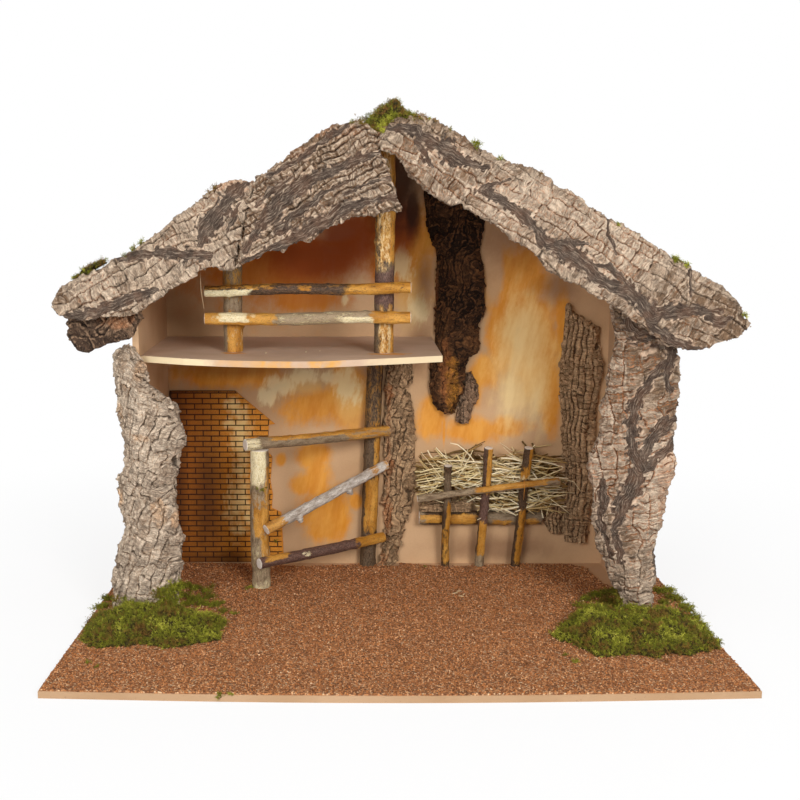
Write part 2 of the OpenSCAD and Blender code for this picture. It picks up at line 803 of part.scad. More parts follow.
module bark_corner_chip() {
    v0 = chip_rise / corner_bark_h;
    right = function (v) corner_left(v0 + chip_h * v / corner_bark_h) - 2 * glue_gap;
    left = function (v) right(v) - chip_w * (1 - lookup(v, chip_left_share));
    color("gray")
        bark_slab(glue_y, corner_z + chip_rise, chip_h, wall_bark_t * 0.6, left, right, 6, 4, 8);
}

// Front roof bark: a slab that hangs in front of the roof boards and folds back over them.
// Its tables give the rise above and the drop below the top of the roof boards.
slab_gap = 1;
leg_y = front_y + 12;
leg_wave = 3;
face_y = roof_y0 - glue_gap;

function seam_y(x) = leg_y + leg_wave * sin(360 * x / house_w * 5);

module front_bark(top_x, foot_x, rise_share, drop_share, leg_share, lean, cols, seed) {
    face_rows = 6;
    rows = 10;
    function top_at(u) = lerp(top_x[0], top_x[1], u);
    function foot_at(u) = lerp(foot_x[0], foot_x[1], u);
    function top_z(u) = over_roof(top_at(u)) + bark_rise * lookup(u, rise_share);
    function foot_z(u) = over_roof(foot_at(u)) - bark_drop * lookup(u, drop_share);
    function leg(u) = lookup(u, leg_share);
    function seat_z(u) = min(over_roof(top_at(u)) + glue_gap, top_z(u) - 2 * slab_gap);
    function back_at(u) = lerp(face_y, seam_y(top_at(u)) - slab_gap / 2, leg(u));
    function corner_y(u) = face_y - (1 - leg(u)) * slab_gap;
    function up(v) = min(1, v * rows / face_rows);
    function over(v) = max(0, (v * rows - face_rows) / (rows - face_rows));
    front = function (u, v) let (
            s = up(v),
            o = over(v),
            swell = bark_wave * wave(u, v, seed) * (1 - o),
            y_face = corner_y(u) - roof_bark_t * (0.35 + 0.65 * pow(1 - s, 0.5))
                - lean * (1 - s) - swell)
        [lerp(foot_at(u), top_at(u), s),
         lerp(y_face, back_at(u), o),
         lerp(lerp(foot_z(u), top_z(u), s), seat_z(u) + top_bark_t * max(0.3, leg(u)), pow(o, 1.5))];
    back = function (u, v) let (s = up(v), o = over(v))
        [lerp(foot_at(u), top_at(u), s),
         lerp(corner_y(u) - lean * (1 - s), back_at(u), o),
         lerp(lerp(foot_z(u) + slab_gap, seat_z(u), s), seat_z(u), o)];
    sheet(grid(rows, cols, front), grid(rows, cols, back));
}

// Left lower slab, from the eave to the seam with the upper one
seam_top_x = -eave_x * 0.42;
seam_foot_x = -eave_x * 0.48;
eave_tip = 8;
left_lower_rise_share = [
    [0, 0.8], [0.09, 0.88], [0.24, 0.77], [0.36, 0.72], [0.45, 0.9], [0.53, 0.85],
    [0.61, 0.98], [0.66, 1.05], [0.76, 1.25], [0.81, 1.3], [0.875, 1.15], [0.96, 0.85], [1, 0.55]
];
left_lower_drop_share = [
    [0, -0.15], [0.06, 0.1], [0.15, 0.3], [0.255, 0.42], [0.43, 0.68], [0.48, 0.7],
    [0.54, 0.65], [0.635, 0.64], [0.745, 0.6], [0.81, 0.6], [0.87, 0.6], [0.95, 0.8], [1, 0.84]
];
full_leg_share = [[0, 1], [1, 1]];

module roof_bark_left_lower() {
    color("rosybrown")
        front_bark([-eave_x - eave_tip, seam_top_x - slab_gap],
                   [-eave_x - eave_tip, seam_foot_x - slab_gap],
                   left_lower_rise_share, left_lower_drop_share, full_leg_share,
                   lean = 4, cols = 18, seed = 9);
}

// Left upper slab, with its sawn end at the ridge
saw_top_x = -inner_x * 0.077;
saw_foot_x = inner_x * 0.018;
left_upper_rise_share = [
    [0, 0.75], [0.14, 0.75], [0.22, 0.75], [0.33, 0.92], [0.43, 0.95], [0.53, 1.1],
    [0.63, 1], [0.72, 0.85], [0.88, 0.55], [0.95, 0.1], [1, -0.3]
];
left_upper_drop_share = [
    [0, 0.86], [0.14, 0.92], [0.23, 0.9], [0.285, 1.02], [0.37, 1], [0.475, 1.13],
    [0.53, 1.04], [0.64, 1.08], [0.72, 1.14], [0.82, 1.24], [0.93, 1.36], [1, 1.38]
];
left_upper_leg_share = [[0, 1], [0.8, 1], [0.86, 0], [1, 0]];

module roof_bark_left_upper() {
    color("dimgray")
        front_bark([seam_top_x, saw_top_x], [seam_foot_x, saw_foot_x],
                   left_upper_rise_share, left_upper_drop_share, left_upper_leg_share,
                   lean = 10, cols = 18, seed = 10);
}

// Right slab, from the ridge to the right eave
right_start_x = saw_top_x + 2 * slab_gap;
right_foot_x = saw_top_x + 7 * slab_gap;
right_rise_share = [
    [0, -0.55], [0.01, -0.2], [0.04, 0], [0.08, 0.1], [0.13, 0.6], [0.21, 0.63],
    [0.29, 0.7], [0.33, 0.65], [0.375, 0.78], [0.415, 0.95], [0.51, 0.95], [0.59, 0.92],
    [0.625, 0.78], [0.71, 0.9], [0.8, 0.78], [0.9, 0.8], [0.965, 0.6], [1, 0.3]
];
right_drop_share = [
    [0, 0.42], [0.02, 0.55], [0.045, 0.72], [0.08, 0.74], [0.095, 0.83], [0.18, 0.83],
    [0.21, 0.7], [0.235, 0.78], [0.315, 0.74], [0.34, 0.84], [0.4, 0.78], [0.43, 0.94],
    [0.48, 1], [0.53, 0.92], [0.565, 0.95], [0.62, 0.93], [0.69, 0.96], [0.745, 1.02],
    [0.8, 1], [0.84, 0.91], [0.875, 0.82], [0.9, 0.64], [0.96, 0.36], [0.98, 0.2], [1, 0.04]
];
right_leg_share = [[0, 0], [0.09, 0], [0.13, 1], [1, 1]];

module roof_bark_right() {
    color("rosybrown")
        front_bark([right_start_x, eave_x + 2 * eave_tip], [right_foot_x, eave_x + 2 * eave_tip],
                   right_rise_share, right_drop_share, right_leg_share,
                   lean = 5, cols = 34, seed = 11);
}

// Dark lump of bark under the left eave: its drop below the roof board across its width
eave_bark_w = 54;
eave_bark_drop = 46;
eave_bark_share = [
    [0, 0.4], [0.07, 0.7], [0.24, 0.85], [0.6, 0.92], [0.83, 1], [0.98, 0.95], [1, 0.8]
];

module roof_bark_eave() {
    function eave_bark_x(u) = -eave_x + eave_bark_w * u;
    high = function (u, v) let (x = eave_bark_x(u))
        [x, lerp(roof_y0, column_y, v), under_roof(x) - glue_gap];
    low = function (u, v) high(u, v) - [0, 0, eave_bark_drop * lookup(u, eave_bark_share)
        * (0.8 + 0.2 * dome(v)) * (0.92 + 0.08 * wave(u, v, 12))];
    color("darkslategray")
        sheet(grid(5, 12, high), grid(5, 12, low));
}

// Bark that lies on the roof behind the front slabs, with ribs that wander down the slope
top_split_x = eave_x * 0.5;
top_bark_over = 5;
top_rib_h = 4.4;
top_rib_count = 3.4;
module top_bark(x0, x1, split0, split1, seed) {
    function bend(v) = 3 * slab_gap * sin(360 * 1.5 * v + 60 * seed);
    function place(u, v) = lerp(x0 + split0 * bend(v), x1 + split1 * bend(v), u);
    function rib(x, v) = let (w = x / eave_x)
        sin(360 * (top_rib_count * v + 0.32 * sin(410 * w + 53 * seed)) + 97 * seed)
        * (0.7 + 0.3 * sin(1150 * w + 700 * v + 31 * seed));
    low = function (u, v) let (x = place(u, v))
        [x, lerp(seam_y(x) + slab_gap / 2, roof_y1, v), over_roof(x) + glue_gap];
    high = function (u, v) low(u, v) + [0, 0, top_bark_t * (0.7 + 0.3 * dome(u))
        + bark_wave * wave(u, v, seed) + top_rib_h / 2 * rib(place(u, v), v)];
    sheet(grid(16, 14, high), grid(16, 14, low));
}

module top_bark_left_lower() {
    color("rosybrown")
        top_bark(-eave_x - top_bark_over, -top_split_x - slab_gap, 0, 1, 13);
}

module top_bark_left_upper() {
    color("dimgray")
        top_bark(-top_split_x, -slab_gap, 1, 0, 13);
}

module top_bark_right_lower() {
    color("rosybrown")
        top_bark(top_split_x + slab_gap, eave_x + top_bark_over, 1, 0, 14);
}

module top_bark_right_upper() {
    color("dimgray")
        top_bark(slab_gap, top_split_x, 0, 1, 14);
}

// Moss mound in front of a column: near and far edge by row, from front to back
moss_rim = 2;
moss_back_y = column_y - column_t - foot_room - overrun;

module moss_mound(x, w, depth, left_share, right_share, seed) {
    low = function (u, v) [x + w * lerp(lookup(v, left_share), lookup(v, right_share), u),
        moss_back_y - depth * (1 - v), ground_z];
    high = function (u, v) low(u, v) + [0, 0, moss_rim
        + (moss_h - moss_rim) * dome(u) * pow(sin(90 * v), 0.7) * (0.9 + 0.1 * wave(u, v, seed))];
    sheet(grid(10, 12, high), grid(10, 12, low));
}

moss_left_d = 54;
moss_left_w = 116;
moss_left_near_share = [[0, 0.2], [0.2, 0.05], [0.5, 0], [1, 0]];
moss_left_far_share = [[0, 0.7], [0.2, 0.92], [0.5, 1], [1, 0.96]];

module moss_left() {
    color("olivedrab")
        moss_mound(-board_back_w / 2 - 6 * overrun, moss_left_w, moss_left_d,
                   moss_left_near_share, moss_left_far_share, 15);
}

moss_right_d = 70;
moss_right_w = 129;
moss_right_near_share = [[0, 0.28], [0.14, 0.18], [0.4, 0.04], [0.65, 0], [1, 0.1]];
moss_right_far_share = [[0, 0.8], [0.14, 0.95], [0.4, 1], [0.65, 1], [1, 0.97]];

module moss_right() {
    color("olivedrab")
        moss_mound(board_back_w / 2 + 6 * overrun - moss_right_w, moss_right_w, moss_right_d,
                   moss_right_near_share, moss_right_far_share, 16);
}

// Moss in the open ridge between the two front slabs
ridge_moss_x0 = -inner_x * 0.1;
ridge_moss_x1 = inner_x * 0.04;
ridge_share = 0.75;

module moss_ridge() {
    low = function (u, v) let (
            x = u < ridge_share
                ? ridge_moss_x0 * (1 - u / ridge_share)
                : ridge_moss_x1 * (u - ridge_share) / (1 - ridge_share))
        [x, lerp(roof_y0 + overrun, leg_y - 2 * leg_wave, v), over_roof(x) + glue_gap];
    high = function (u, v) low(u, v)
        + [0, 0, ridge_moss_h * (0.35 + 0.65 * dome(u) * dome(0.15 + 0.7 * v))];
    color("olivedrab")
        sheet(grid(6, 8, high), grid(6, 8, low));
}

// Tuft of moss on the left slab near the eave
eave_moss_w = 26;
eave_moss_h = 6;
module moss_eave() {
    x0 = -eave_x + eave_moss_w * 0.2;
    low = function (u, v) let (x = x0 + eave_moss_w * u)
        [x, lerp(roof_y0 - roof_bark_t * 0.5, front_y - roof_bark_t, v),
         over_roof(x) + bark_rise * (0.9 - 0.12 * v) + glue_gap];
    high = function (u, v) low(u, v)
        + [0, 0, eave_moss_h * (0.3 + 0.7 * dome(u) * dome(0.15 + 0.7 * v))];
    color("olivedrab")
        sheet(grid(4, 6, high), grid(4, 6, low));
}

base_board();
ground_cover();
back_wall();
side_wall_left();
side_wall_right();
roof_board_left();
roof_board_right();
brick_panel();
loft_floor();
loft_post_left();
loft_post_right();
loft_rail_upper();
loft_rail_lower();
stall_post();
centre_post();
stall_rail_top();
stall_brace();
stall_rail_bottom();
rack_log();
rack_stick_left();
rack_stick_middle();
rack_stick_right();
rack_crossbar();
rack_bark();
hay();
bark_column_left();
bark_column_right();
bark_strip_centre();
bark_hanging();
bark_hanging_tip();
bark_corner();
bark_corner_chip();
roof_bark_left_lower();
roof_bark_left_upper();
roof_bark_right();
roof_bark_eave();
top_bark_left_lower();
top_bark_left_upper();
top_bark_right_lower();
top_bark_right_upper();
moss_left();
moss_right();
moss_ridge();
moss_eave();
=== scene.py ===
"""Dresses the frame of a wooden nativity stable in bark, twigs, moss, hay, cork grains and paint."""

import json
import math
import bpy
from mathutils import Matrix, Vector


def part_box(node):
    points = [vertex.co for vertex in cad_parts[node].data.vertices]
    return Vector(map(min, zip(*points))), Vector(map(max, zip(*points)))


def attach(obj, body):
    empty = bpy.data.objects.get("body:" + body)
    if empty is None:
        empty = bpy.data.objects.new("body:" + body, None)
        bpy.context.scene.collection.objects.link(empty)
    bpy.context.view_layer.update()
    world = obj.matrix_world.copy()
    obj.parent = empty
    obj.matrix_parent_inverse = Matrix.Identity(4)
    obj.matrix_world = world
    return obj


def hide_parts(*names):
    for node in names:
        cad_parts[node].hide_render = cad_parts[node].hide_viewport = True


bl_info = {
    "name": "Wooden nativity stable",
    "version": (1, 0, 0),
    "blender": (4, 5, 0),
    "location": "3D View > Sidebar > Stable",
    "description": "Dresses the frame of a nativity stable in bark, twigs, moss, hay and paint",
    "category": "Object",
}

from functools import cached_property
from itertools import product

import bpy
import numpy as np
from mathutils import Vector
from mathutils.bvhtree import BVHTree

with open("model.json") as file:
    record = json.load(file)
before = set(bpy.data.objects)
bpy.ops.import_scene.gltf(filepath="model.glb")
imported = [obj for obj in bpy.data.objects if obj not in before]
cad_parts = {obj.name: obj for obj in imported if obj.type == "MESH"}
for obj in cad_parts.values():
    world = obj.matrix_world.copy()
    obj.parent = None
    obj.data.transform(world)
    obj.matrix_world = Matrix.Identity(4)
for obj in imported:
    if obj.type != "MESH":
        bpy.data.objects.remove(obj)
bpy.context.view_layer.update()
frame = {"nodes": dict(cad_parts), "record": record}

MM = 0.001

# The photograph's camera: place, tilt, and lens in pixels of its 800 x 800 frame
FRAME_PX = 800.0
LENS_PX = 1185.0
CENTRE_PX = (350.0, 400.0)
SENSOR = 36.0
CAMERA_PLACE = Vector((-0.0344, -0.9234, 0.3382))
CAMERA_TILT = math.radians(9.486)


def srgb(red, green, blue):
    """A colour of 0 to 255 as Blender's own values."""
    return tuple(((c / 255 + 0.055) / 1.055) ** 2.4 if c > 10 else c / 3294.6 for c in (red, green, blue))


WHITE = (1.0, 1.0, 1.0)
GOLD = srgb(206, 140, 52)


def at_pixel(across, down, depth):
    """The place, in millimetres, that a pixel of the frame shows in the plane y = depth."""
    forward = Vector((0, math.cos(CAMERA_TILT), -math.sin(CAMERA_TILT)))
    up = Vector((0, math.sin(CAMERA_TILT), math.cos(CAMERA_TILT)))
    ray = forward + Vector((1, 0, 0)) * (across - CENTRE_PX[0]) / LENS_PX + up * (CENTRE_PX[1] - down) / LENS_PX
    start = CAMERA_PLACE / MM
    return start + ray * ((depth - start.y) / ray.y)


# ---------------------------------------------------------------- noise and cells

def smooth(x):
    """A soft step from 0 to 1."""
    x = np.clip(x, 0, 1)
    return x * x * (3 - 2 * x)


# Large numbers that stir the bits of a cell's place and of a seed
STIR = [np.uint32(number) for number in (374761393, 668265263, 2246822519, 3266489917)]
STIR_SEED = 2654435761
ALL_BITS = 0xFFFFFFFF


def hashed(cell, seed):
    """A steady number from 0 to 1 for each whole-numbered cell."""
    c = cell.astype(np.int64).astype(np.uint32)
    mixed = c[..., 0] * STIR[0] ^ c[..., 1] * STIR[1] ^ c[..., 2] * STIR[2] ^ np.uint32(seed * STIR_SEED & ALL_BITS)
    mixed = (mixed ^ (mixed >> 15)) * STIR[2]
    mixed = (mixed ^ (mixed >> 13)) * STIR[3]
    return (mixed ^ (mixed >> 16)) / float(ALL_BITS)


def noise(points, seed=0):
    """Smooth noise from -1 to 1."""
    base = np.floor(points)
    part = smooth(points - base)
    total = 0.0
    for corner in product((0, 1), repeat=3):
        share = np.prod(np.where(corner, part, 1 - part), axis=1)
        total = total + share * hashed(base + corner, seed)
    return 2 * total - 1


def fractal(points, octaves, seed=0):
    """Noise with finer and finer layers."""
    total = sum(noise(points * 2 ** k, seed + 31 * k) / 2 ** k for k in range(octaves))
    return total / (2 - 2 ** (1 - octaves)) * 1.3


def warp(points, size, octaves, seed, ways=3):
    """Fractal noise of its own for each of some directions."""
    return np.stack([fractal(points / size, octaves, seed + k) for k in range(ways)], 1)


FAR_AWAY = 1e9


def cells(points, seed):
    """Distances to the nearest and to the next of the cells' scattered middles."""
    base = np.floor(points)
    near = np.full(len(points), FAR_AWAY)
    second = near.copy()
    for offset in product((-1, 0, 1), repeat=3):
        cell = base + offset
        middle = cell + 0.5 + 0.8 * (np.stack([hashed(cell, seed + k) for k in range(3)], 1) - 0.5)
        far = np.linalg.norm(points - middle, axis=1)
        second = np.minimum(second, np.maximum(near, far))
        near = np.minimum(near, far)
    return near, second


# ---------------------------------------------------------------- meshes

def cad_mesh(node):
    """The mesh of a CAD node."""
    return frame["nodes"][node].data


def box_of(node):
    """The lowest and the highest corner of a CAD node in millimetres."""
    return [np.array(corner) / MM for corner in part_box(node)]


def get_points(mesh):
    """Corner places in millimetres and corner normals of a mesh, as arrays."""
    values = np.empty((2, len(mesh.vertices) * 3), np.float32)
    for row, what in zip(values, ("co", "normal")):
        mesh.vertices.foreach_get(what, row)
    points, normals = values.reshape(2, -1, 3).astype(float)
    return points / MM, normals


def set_points(mesh, points):
    """Moves the corners of a mesh to places in millimetres."""
    mesh.vertices.foreach_set("co", (np.asarray(points) * MM).astype(np.float32).ravel())


def build_mesh(name, points, faces, rounded=False):
    """A mesh from an array of places in millimetres and an array of faces."""
    mesh = bpy.data.meshes.new(name)
    mesh.vertices.add(len(points))
    set_points(mesh, points)
    mesh.loops.add(faces.size)
    mesh.loops.foreach_set("vertex_index", faces.astype(np.int32).ravel())
    mesh.polygons.add(len(faces))
    mesh.polygons.foreach_set("loop_start", np.arange(0, faces.size, faces.shape[1], dtype=np.int32))
    mesh.polygons.foreach_set("use_smooth", np.full(len(faces), rounded))
    mesh.update(calc_edges=True)
    return mesh


def paint(mesh, **values):
    """Keeps a number or a place for each corner of a mesh under a name that materials read."""
    for name, value in values.items():
        value = np.asarray(value, np.float32)
        kind, field = ("FLOAT_VECTOR", "vector") if value.ndim == 2 else ("FLOAT", "value")
        mesh.attributes.new(name, kind, "POINT").data.foreach_set(field, value.ravel())


def put(name, data):
    """A new object in the scene."""
    made = bpy.data.objects.new(name, data)
    bpy.context.scene.collection.objects.link(made)
    return made


def dress(mesh, material):
    """Gives a mesh one material."""
    mesh.materials.clear()
    mesh.materials.append(material)


def add_piece(name, mesh, slot, material, *nodes):
    """Puts a mesh on the stable, in place of CAD nodes if any are named."""
    piece = put(name, mesh)
    dress(mesh, material)
    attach(piece, "root")
    if nodes:
        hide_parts(*nodes)


def baked(piece, *helpers):
    """The mesh of an object after its modifiers. The object and its helpers are removed."""
    bpy.context.view_layer.update()
    mesh = bpy.data.meshes.new_from_object(piece.evaluated_get(bpy.context.evaluated_depsgraph_get()))
    for spent in (piece, *helpers):
        old = spent.data
        bpy.data.objects.remove(spent)
        bpy.data.meshes.remove(old)
    return mesh


def remeshed(node, voxel, rounds):
    """An even, closed copy of a CAD node's mesh with voxels of some millimetres, softened a little."""
    source = put("remesh_source", cad_mesh(node).copy())
    remesh = source.modifiers.new("Remesh", "REMESH")
    remesh.mode = "VOXEL"
    remesh.voxel_size = voxel * MM
    soften = source.modifiers.new("Smooth", "SMOOTH")
    soften.factor = 0.5
    soften.iterations = rounds
    mesh = baked(source)
    mesh.polygons.foreach_set("use_smooth", np.full(len(mesh.polygons), True))
    return mesh


def blurred(mesh, values, rounds):
    """Values of a mesh's corners, averaged with their neighbours' again and again."""
    pairs = np.empty(len(mesh.edges) * 2, np.int32)
    mesh.edges.foreach_get("vertices", pairs)
    a, b = pairs[0::2], pairs[1::2]
    count = len(values)
    degree = np.bincount(a, minlength=count) + np.bincount(b, minlength=count) + 1
    for _ in range(rounds):
        around = np.bincount(a, values[b], count) + np.bincount(b, values[a], count)
        values = (values + around) / degree
    return values


def grid_faces(rows, columns, loop=False):
    """Quads of a grid whose columns may close into a ring."""
    wide = columns if loop else columns - 1
    row, column = np.meshgrid(np.arange(rows - 1), np.arange(wide), indexing="ij")
    a = row * columns + column
    b = row * columns + (column + 1) % columns
    return np.stack([a, b, b + columns, a + columns], -1).reshape(-1, 4)


TUBE_SIDES = 5
# A way that no stalk runs along, so that every tube can be turned from it
STRANGE_WAY = np.array([0.31, 0.17, 0.94])
# Keeps a length of 0 from being divided by
TINY = 1e-12


def unit(vectors):
    """Vectors shortened or stretched to a length of 1."""
    return vectors / (np.linalg.norm(vectors, axis=-1, keepdims=True) + TINY)


def copies(faces, count, corners):
    """The faces of many copies of a shape with some corners, one copy after another."""
    return (faces[None] + (np.arange(count) * corners)[:, None, None]).reshape(-1, faces.shape[1])


def tubes(paths, widths):
    """Closed thin tubes along many paths with the same number of places: corners, faces and the tube of each."""
    count, steps, _ = paths.shape
    ahead = unit(np.gradient(paths, axis=1))
    aside = unit(np.cross(ahead, STRANGE_WAY))
    above = np.cross(ahead, aside)
    angle = np.arange(TUBE_SIDES) * 2 * math.pi / TUBE_SIDES
    ring = np.cos(angle)[:, None] * aside[:, :, None] + np.sin(angle)[:, None] * above[:, :, None]
    points = paths[:, :, None] + ring * widths[:, :, None, None]
    per_tube = steps * TUBE_SIDES
    walls = grid_faces(steps, TUBE_SIDES, loop=True)
    walls = np.concatenate([walls[:, [0, 1, 2]], walls[:, [0, 2, 3]]])
    fan = np.arange(1, TUBE_SIDES - 1)
    near_cap = np.stack([0 * fan, fan + 1, fan], 1)
    far_cap = np.stack([0 * fan, fan, fan + 1], 1) + per_tube - TUBE_SIDES
    faces = copies(np.concatenate([walls, near_cap, far_cap]), count, per_tube)
    return points.reshape(-1, 3), faces, np.repeat(np.arange(count), per_tube)


# ---------------------------------------------------------------- materials

class Wire:
    """A socket of a material. Sums and products of wires add Math nodes."""

    def __init__(self, finish, socket):
        self.finish = finish
        self.socket = socket

    def math(self, operation, first, second=0.0, clamp=False):
        """A Math node."""
        return self.finish.node("ShaderNodeMath", {"operation": operation, "use_clamp": clamp}, {0: first, 1: second})

    def __add__(self, other):
        return self.math("ADD", self, other)

    __radd__ = __add__

    def __sub__(self, other):
        return self.math("SUBTRACT", self, other)

    def __rsub__(self, other):
        return self.math("SUBTRACT", other, self)

    def __mul__(self, other):
        return self.math("MULTIPLY", self, other)

    __rmul__ = __mul__

    def clamped(self):
        """The value cut off below 0 and above 1."""
        return self.math("ADD", self, clamp=True)

    def larger(self, other):
        """The larger of two values."""
        return self.math("MAXIMUM", self, other)

    def step(self, low, high):
        """A soft step from 0 at low to 1 at high."""
        return self.finish.node(
            "ShaderNodeMapRange",
            {"interpolation_type": "SMOOTHSTEP"},
            {"Value": self, "From Min": low, "From Max": high},
        )


class Finish:
    """A material, or the world, under construction."""

    def __init__(self, name, kind="materials"):
        self.made = getattr(bpy.data, kind).new(name)
        self.made.use_nodes = True
        self.tree = self.made.node_tree
        self.tree.nodes.clear()

    @cached_property
    def place(self):
        """Object places."""
        return self.node("ShaderNodeTexCoord", out="Object")

    def node(self, kind, settings=None, sockets=None, out=0):
        """Adds a node with its settings, its socket values or links, and gives one of its outputs if it has any."""
        made = self.tree.nodes.new(kind)
        for key, value in (settings or {}).items():
            setattr(made, key, value)
        for key, value in (sockets or {}).items():
            if isinstance(value, Wire):
                self.tree.links.new(value.socket, made.inputs[key])
            elif made.inputs[key].type == "RGBA":
                made.inputs[key].default_value = (*value, 1)
            else:
                made.inputs[key].default_value = value
        return Wire(self, made.outputs[out]) if made.outputs else None

    def vector_math(self, operation, *values, out="Vector"):
        """A Vector Math node."""
        return self.node("ShaderNodeVectorMath", {"operation": operation}, dict(enumerate(values)), out)

    def part(self, vector, axis):
        """One part of a vector."""
        return self.node("ShaderNodeSeparateXYZ", None, {0: vector}, axis)

    def along(self, axis):
        """Object places along an axis in millimetres."""
        return self.part(self.place, axis) * (1 / MM)

    def facing(self, axis):
        """How far the surface faces along an axis."""
        return self.part(self.node("ShaderNodeNewGeometry", out="Normal"), axis)

    def leaning(self, stretch, lean):
        """Object places for strokes that are stretched upwards and lean to the right."""
        return self.node("ShaderNodeMapping", {"vector_type": "TEXTURE"},
                         {"Vector": self.place, "Scale": (1, 1, stretch), "Rotation": (0, lean, 0)})

    def noise(self, scale, detail, vector=None, rough=0.55):
        """Noise from about 0.2 to 0.8."""
        return self.node("ShaderNodeTexNoise", None,
                         {"Vector": vector or self.place, "Scale": scale, "Detail": detail, "Roughness": rough})

    def sway(self, *noise, **settings):
        """Noise around 0."""
        return self.noise(*noise, **settings) - 0.5

    def cells(self, scale, out, vector=None, feature="F1", randomness=1.0):
        """Cells: how far their middle or edge is, or a steady colour for each."""
        return self.node("ShaderNodeTexVoronoi", {"feature": feature},
                         {"Vector": vector or self.place, "Scale": scale, "Randomness": randomness}, out)

    def layer(self, name, out="Fac"):
        """A value that paint has kept on the mesh."""
        return self.node("ShaderNodeAttribute", {"attribute_name": name}, out=out)

    def stretched(self, vector, *scale):
        """A vector with a scale of its own for each axis."""
        return self.vector_math("MULTIPLY", vector, scale)

    def ridge(self, vector, scale, width, detail):
        """Thin lines where a noise crosses its middle."""
        wave = self.sway(1.0, detail, self.stretched(vector, *scale))
        return 1 - wave.math("ABSOLUTE", wave).step(0.0, width)

    def mix(self, share, first, second):
        """The second colour over the first."""
        return self.node("ShaderNodeMix", {"data_type": "RGBA", "clamp_factor": True},
                         {0: share, 6: first, 7: second}, 2)

    def coats(self, tone, *coats):
        """Coats of colour over a tone, each with its share."""
        for share, coat in coats:
            tone = self.mix(share, tone, coat)
        return tone

    def ramp(self, value, *stops):
        """Colours along a value."""
        wire = self.node("ShaderNodeValToRGB", None, {"Fac": value})
        ramp = wire.socket.node.color_ramp.elements
        while len(ramp) < len(stops):
            ramp.new(0.5)
        for stop, (position, colour) in zip(ramp, stops):
            stop.position = position
            stop.color = (*colour, 1)
        return wire

    def bump(self, height, strength, distance):
        """A normal for fine relief of some millimetres."""
        return self.node("ShaderNodeBump", None,
                         {"Height": height, "Strength": strength, "Distance": distance * MM}, "Normal")

    def principled(self, colour, roughness, normal=None, specular=0.25):
        """A Principled shader."""
        sockets = {"Base Color": colour, "Roughness": roughness, "Specular IOR Level": specular}
        if normal:
            sockets["Normal"] = normal
        return self.node("ShaderNodeBsdfPrincipled", None, sockets, "BSDF")

    def finished(self, shader, kind="Material"):
        """Ends the material or the world with a shader."""
        self.node("ShaderNodeOutput" + kind, None, {"Surface": shader})
        return self.made

    def surface(self, colour, roughness, normal=None):
        """Ends the material with a Principled surface."""
        return self.finished(self.principled(colour, roughness, normal))

    def background_rays(self):
        """1 for the rays that show the background: straight ones, those in gloss and those through glass."""
        kinds = ("Is Camera Ray", "Is Glossy Ray", "Is Transmission Ray")
        straight, gloss, through = (self.node("ShaderNodeLightPath", out=kind) for kind in kinds)
        return straight.larger(gloss).larger(through)


def fibreboard(f, cloud, share, light, shade, fibres):
    """Bare fibreboard: its tone, cloudy and streaked with fibres, and the noise of its fibres."""
    fibre = f.noise(900, 4)
    return f.coats(light, (f.noise(cloud, 3).step(0.3, 0.7), shade), (fibre * share, fibres)), fibre


def board_finish(name, colour, shade, rim=0.0):
    """Pressed fibreboard: pale, with fine fibres and specks; its edges can be darker."""
    f = Finish(name)
    tone, fibre = fibreboard(f, 14, 0.35, colour, shade, shade)
    tone = f.mix(f.noise(420, 2).step(0.66, 0.74) * 0.35, tone, srgb(140, 105, 80))
    if rim:
        tone = f.mix((1 - f.facing("Z").step(0.4, 0.8)) * rim, tone, srgb(30, 18, 10))
    return f.surface(tone, 0.8, f.bump(fibre, 0.12, 0.3))


def spot(f, middle, size):
    """How far inside an oval a place lies, from 1 in its middle to 0 at its rim; a size of 0 reaches everywhere."""
    shrink = Vector([0 if part == 0 else 1 / (part * MM) for part in size])
    moved = f.vector_math("MULTIPLY_ADD", f.place, shrink, -Vector(middle) * MM * shrink)
    return 1 - f.vector_math("LENGTH", moved, out="Value")


def patches(f, places, depth):
    """How far inside a group of soft patches a place lies: each is a middle and half sizes in pixels."""
    total = None
    for across, down, half_w, half_h in places:
        middle = at_pixel(across, down, depth)
        reach = at_pixel(across + half_w, down - half_h, depth) - middle
        blob = spot(f, middle, (reach.x, 0, reach.z))
        total = blob if total is None else total.larger(blob)
    return total


# Brushed paint on the back wall, and painted shade and shadow on it: patches in pixels of the frame, each a middle,
# half width and half height
OCHRE_PATCHES = (
    (285, 262, 108, 60), (400, 250, 50, 64), (230, 374, 60, 18), (318, 404, 44, 24), (348, 396, 26, 38),
    (314, 456, 20, 16), (302, 484, 14, 14), (323, 510, 28, 30), (321, 527, 17, 12), (356, 502, 7, 9),
    (281, 460, 6, 7), (318, 480, 16, 34), (498, 426, 46, 13), (520, 280, 36, 48), (484, 380, 15, 27),
    (552, 391, 17, 60), (562, 322, 12, 48), (476, 430, 38, 15), (429, 418, 20, 28), (502, 330, 18, 46),
    (444, 430, 2, 18), (540, 340, 30, 60), (384, 200, 30, 50), (312, 300, 58, 17),
)
GLOW_PATCHES = ((527, 370, 36, 68), (530, 336, 34, 36), (350, 398, 18, 32), (306, 384, 30, 16), (410, 300, 24, 40))
CREAM_PATCHES = (
    (268, 397, 15, 12), (282, 386, 20, 14), (306, 377, 26, 11), (330, 378, 20, 9), (350, 388, 15, 22),
    (403, 264, 13, 22), (419, 312, 16, 20), (345, 300, 6, 8),
)
VEIL_PATCHES = ((524, 345, 30, 56), (512, 398, 20, 44), (536, 400, 14, 44))
BARE_PATCHES = (
    (494, 262, 11, 44), (491, 406, 12, 22), (602, 320, 30, 44), (418, 378, 15, 24), (574, 425, 20, 50),
    (325, 232, 30, 12),
)
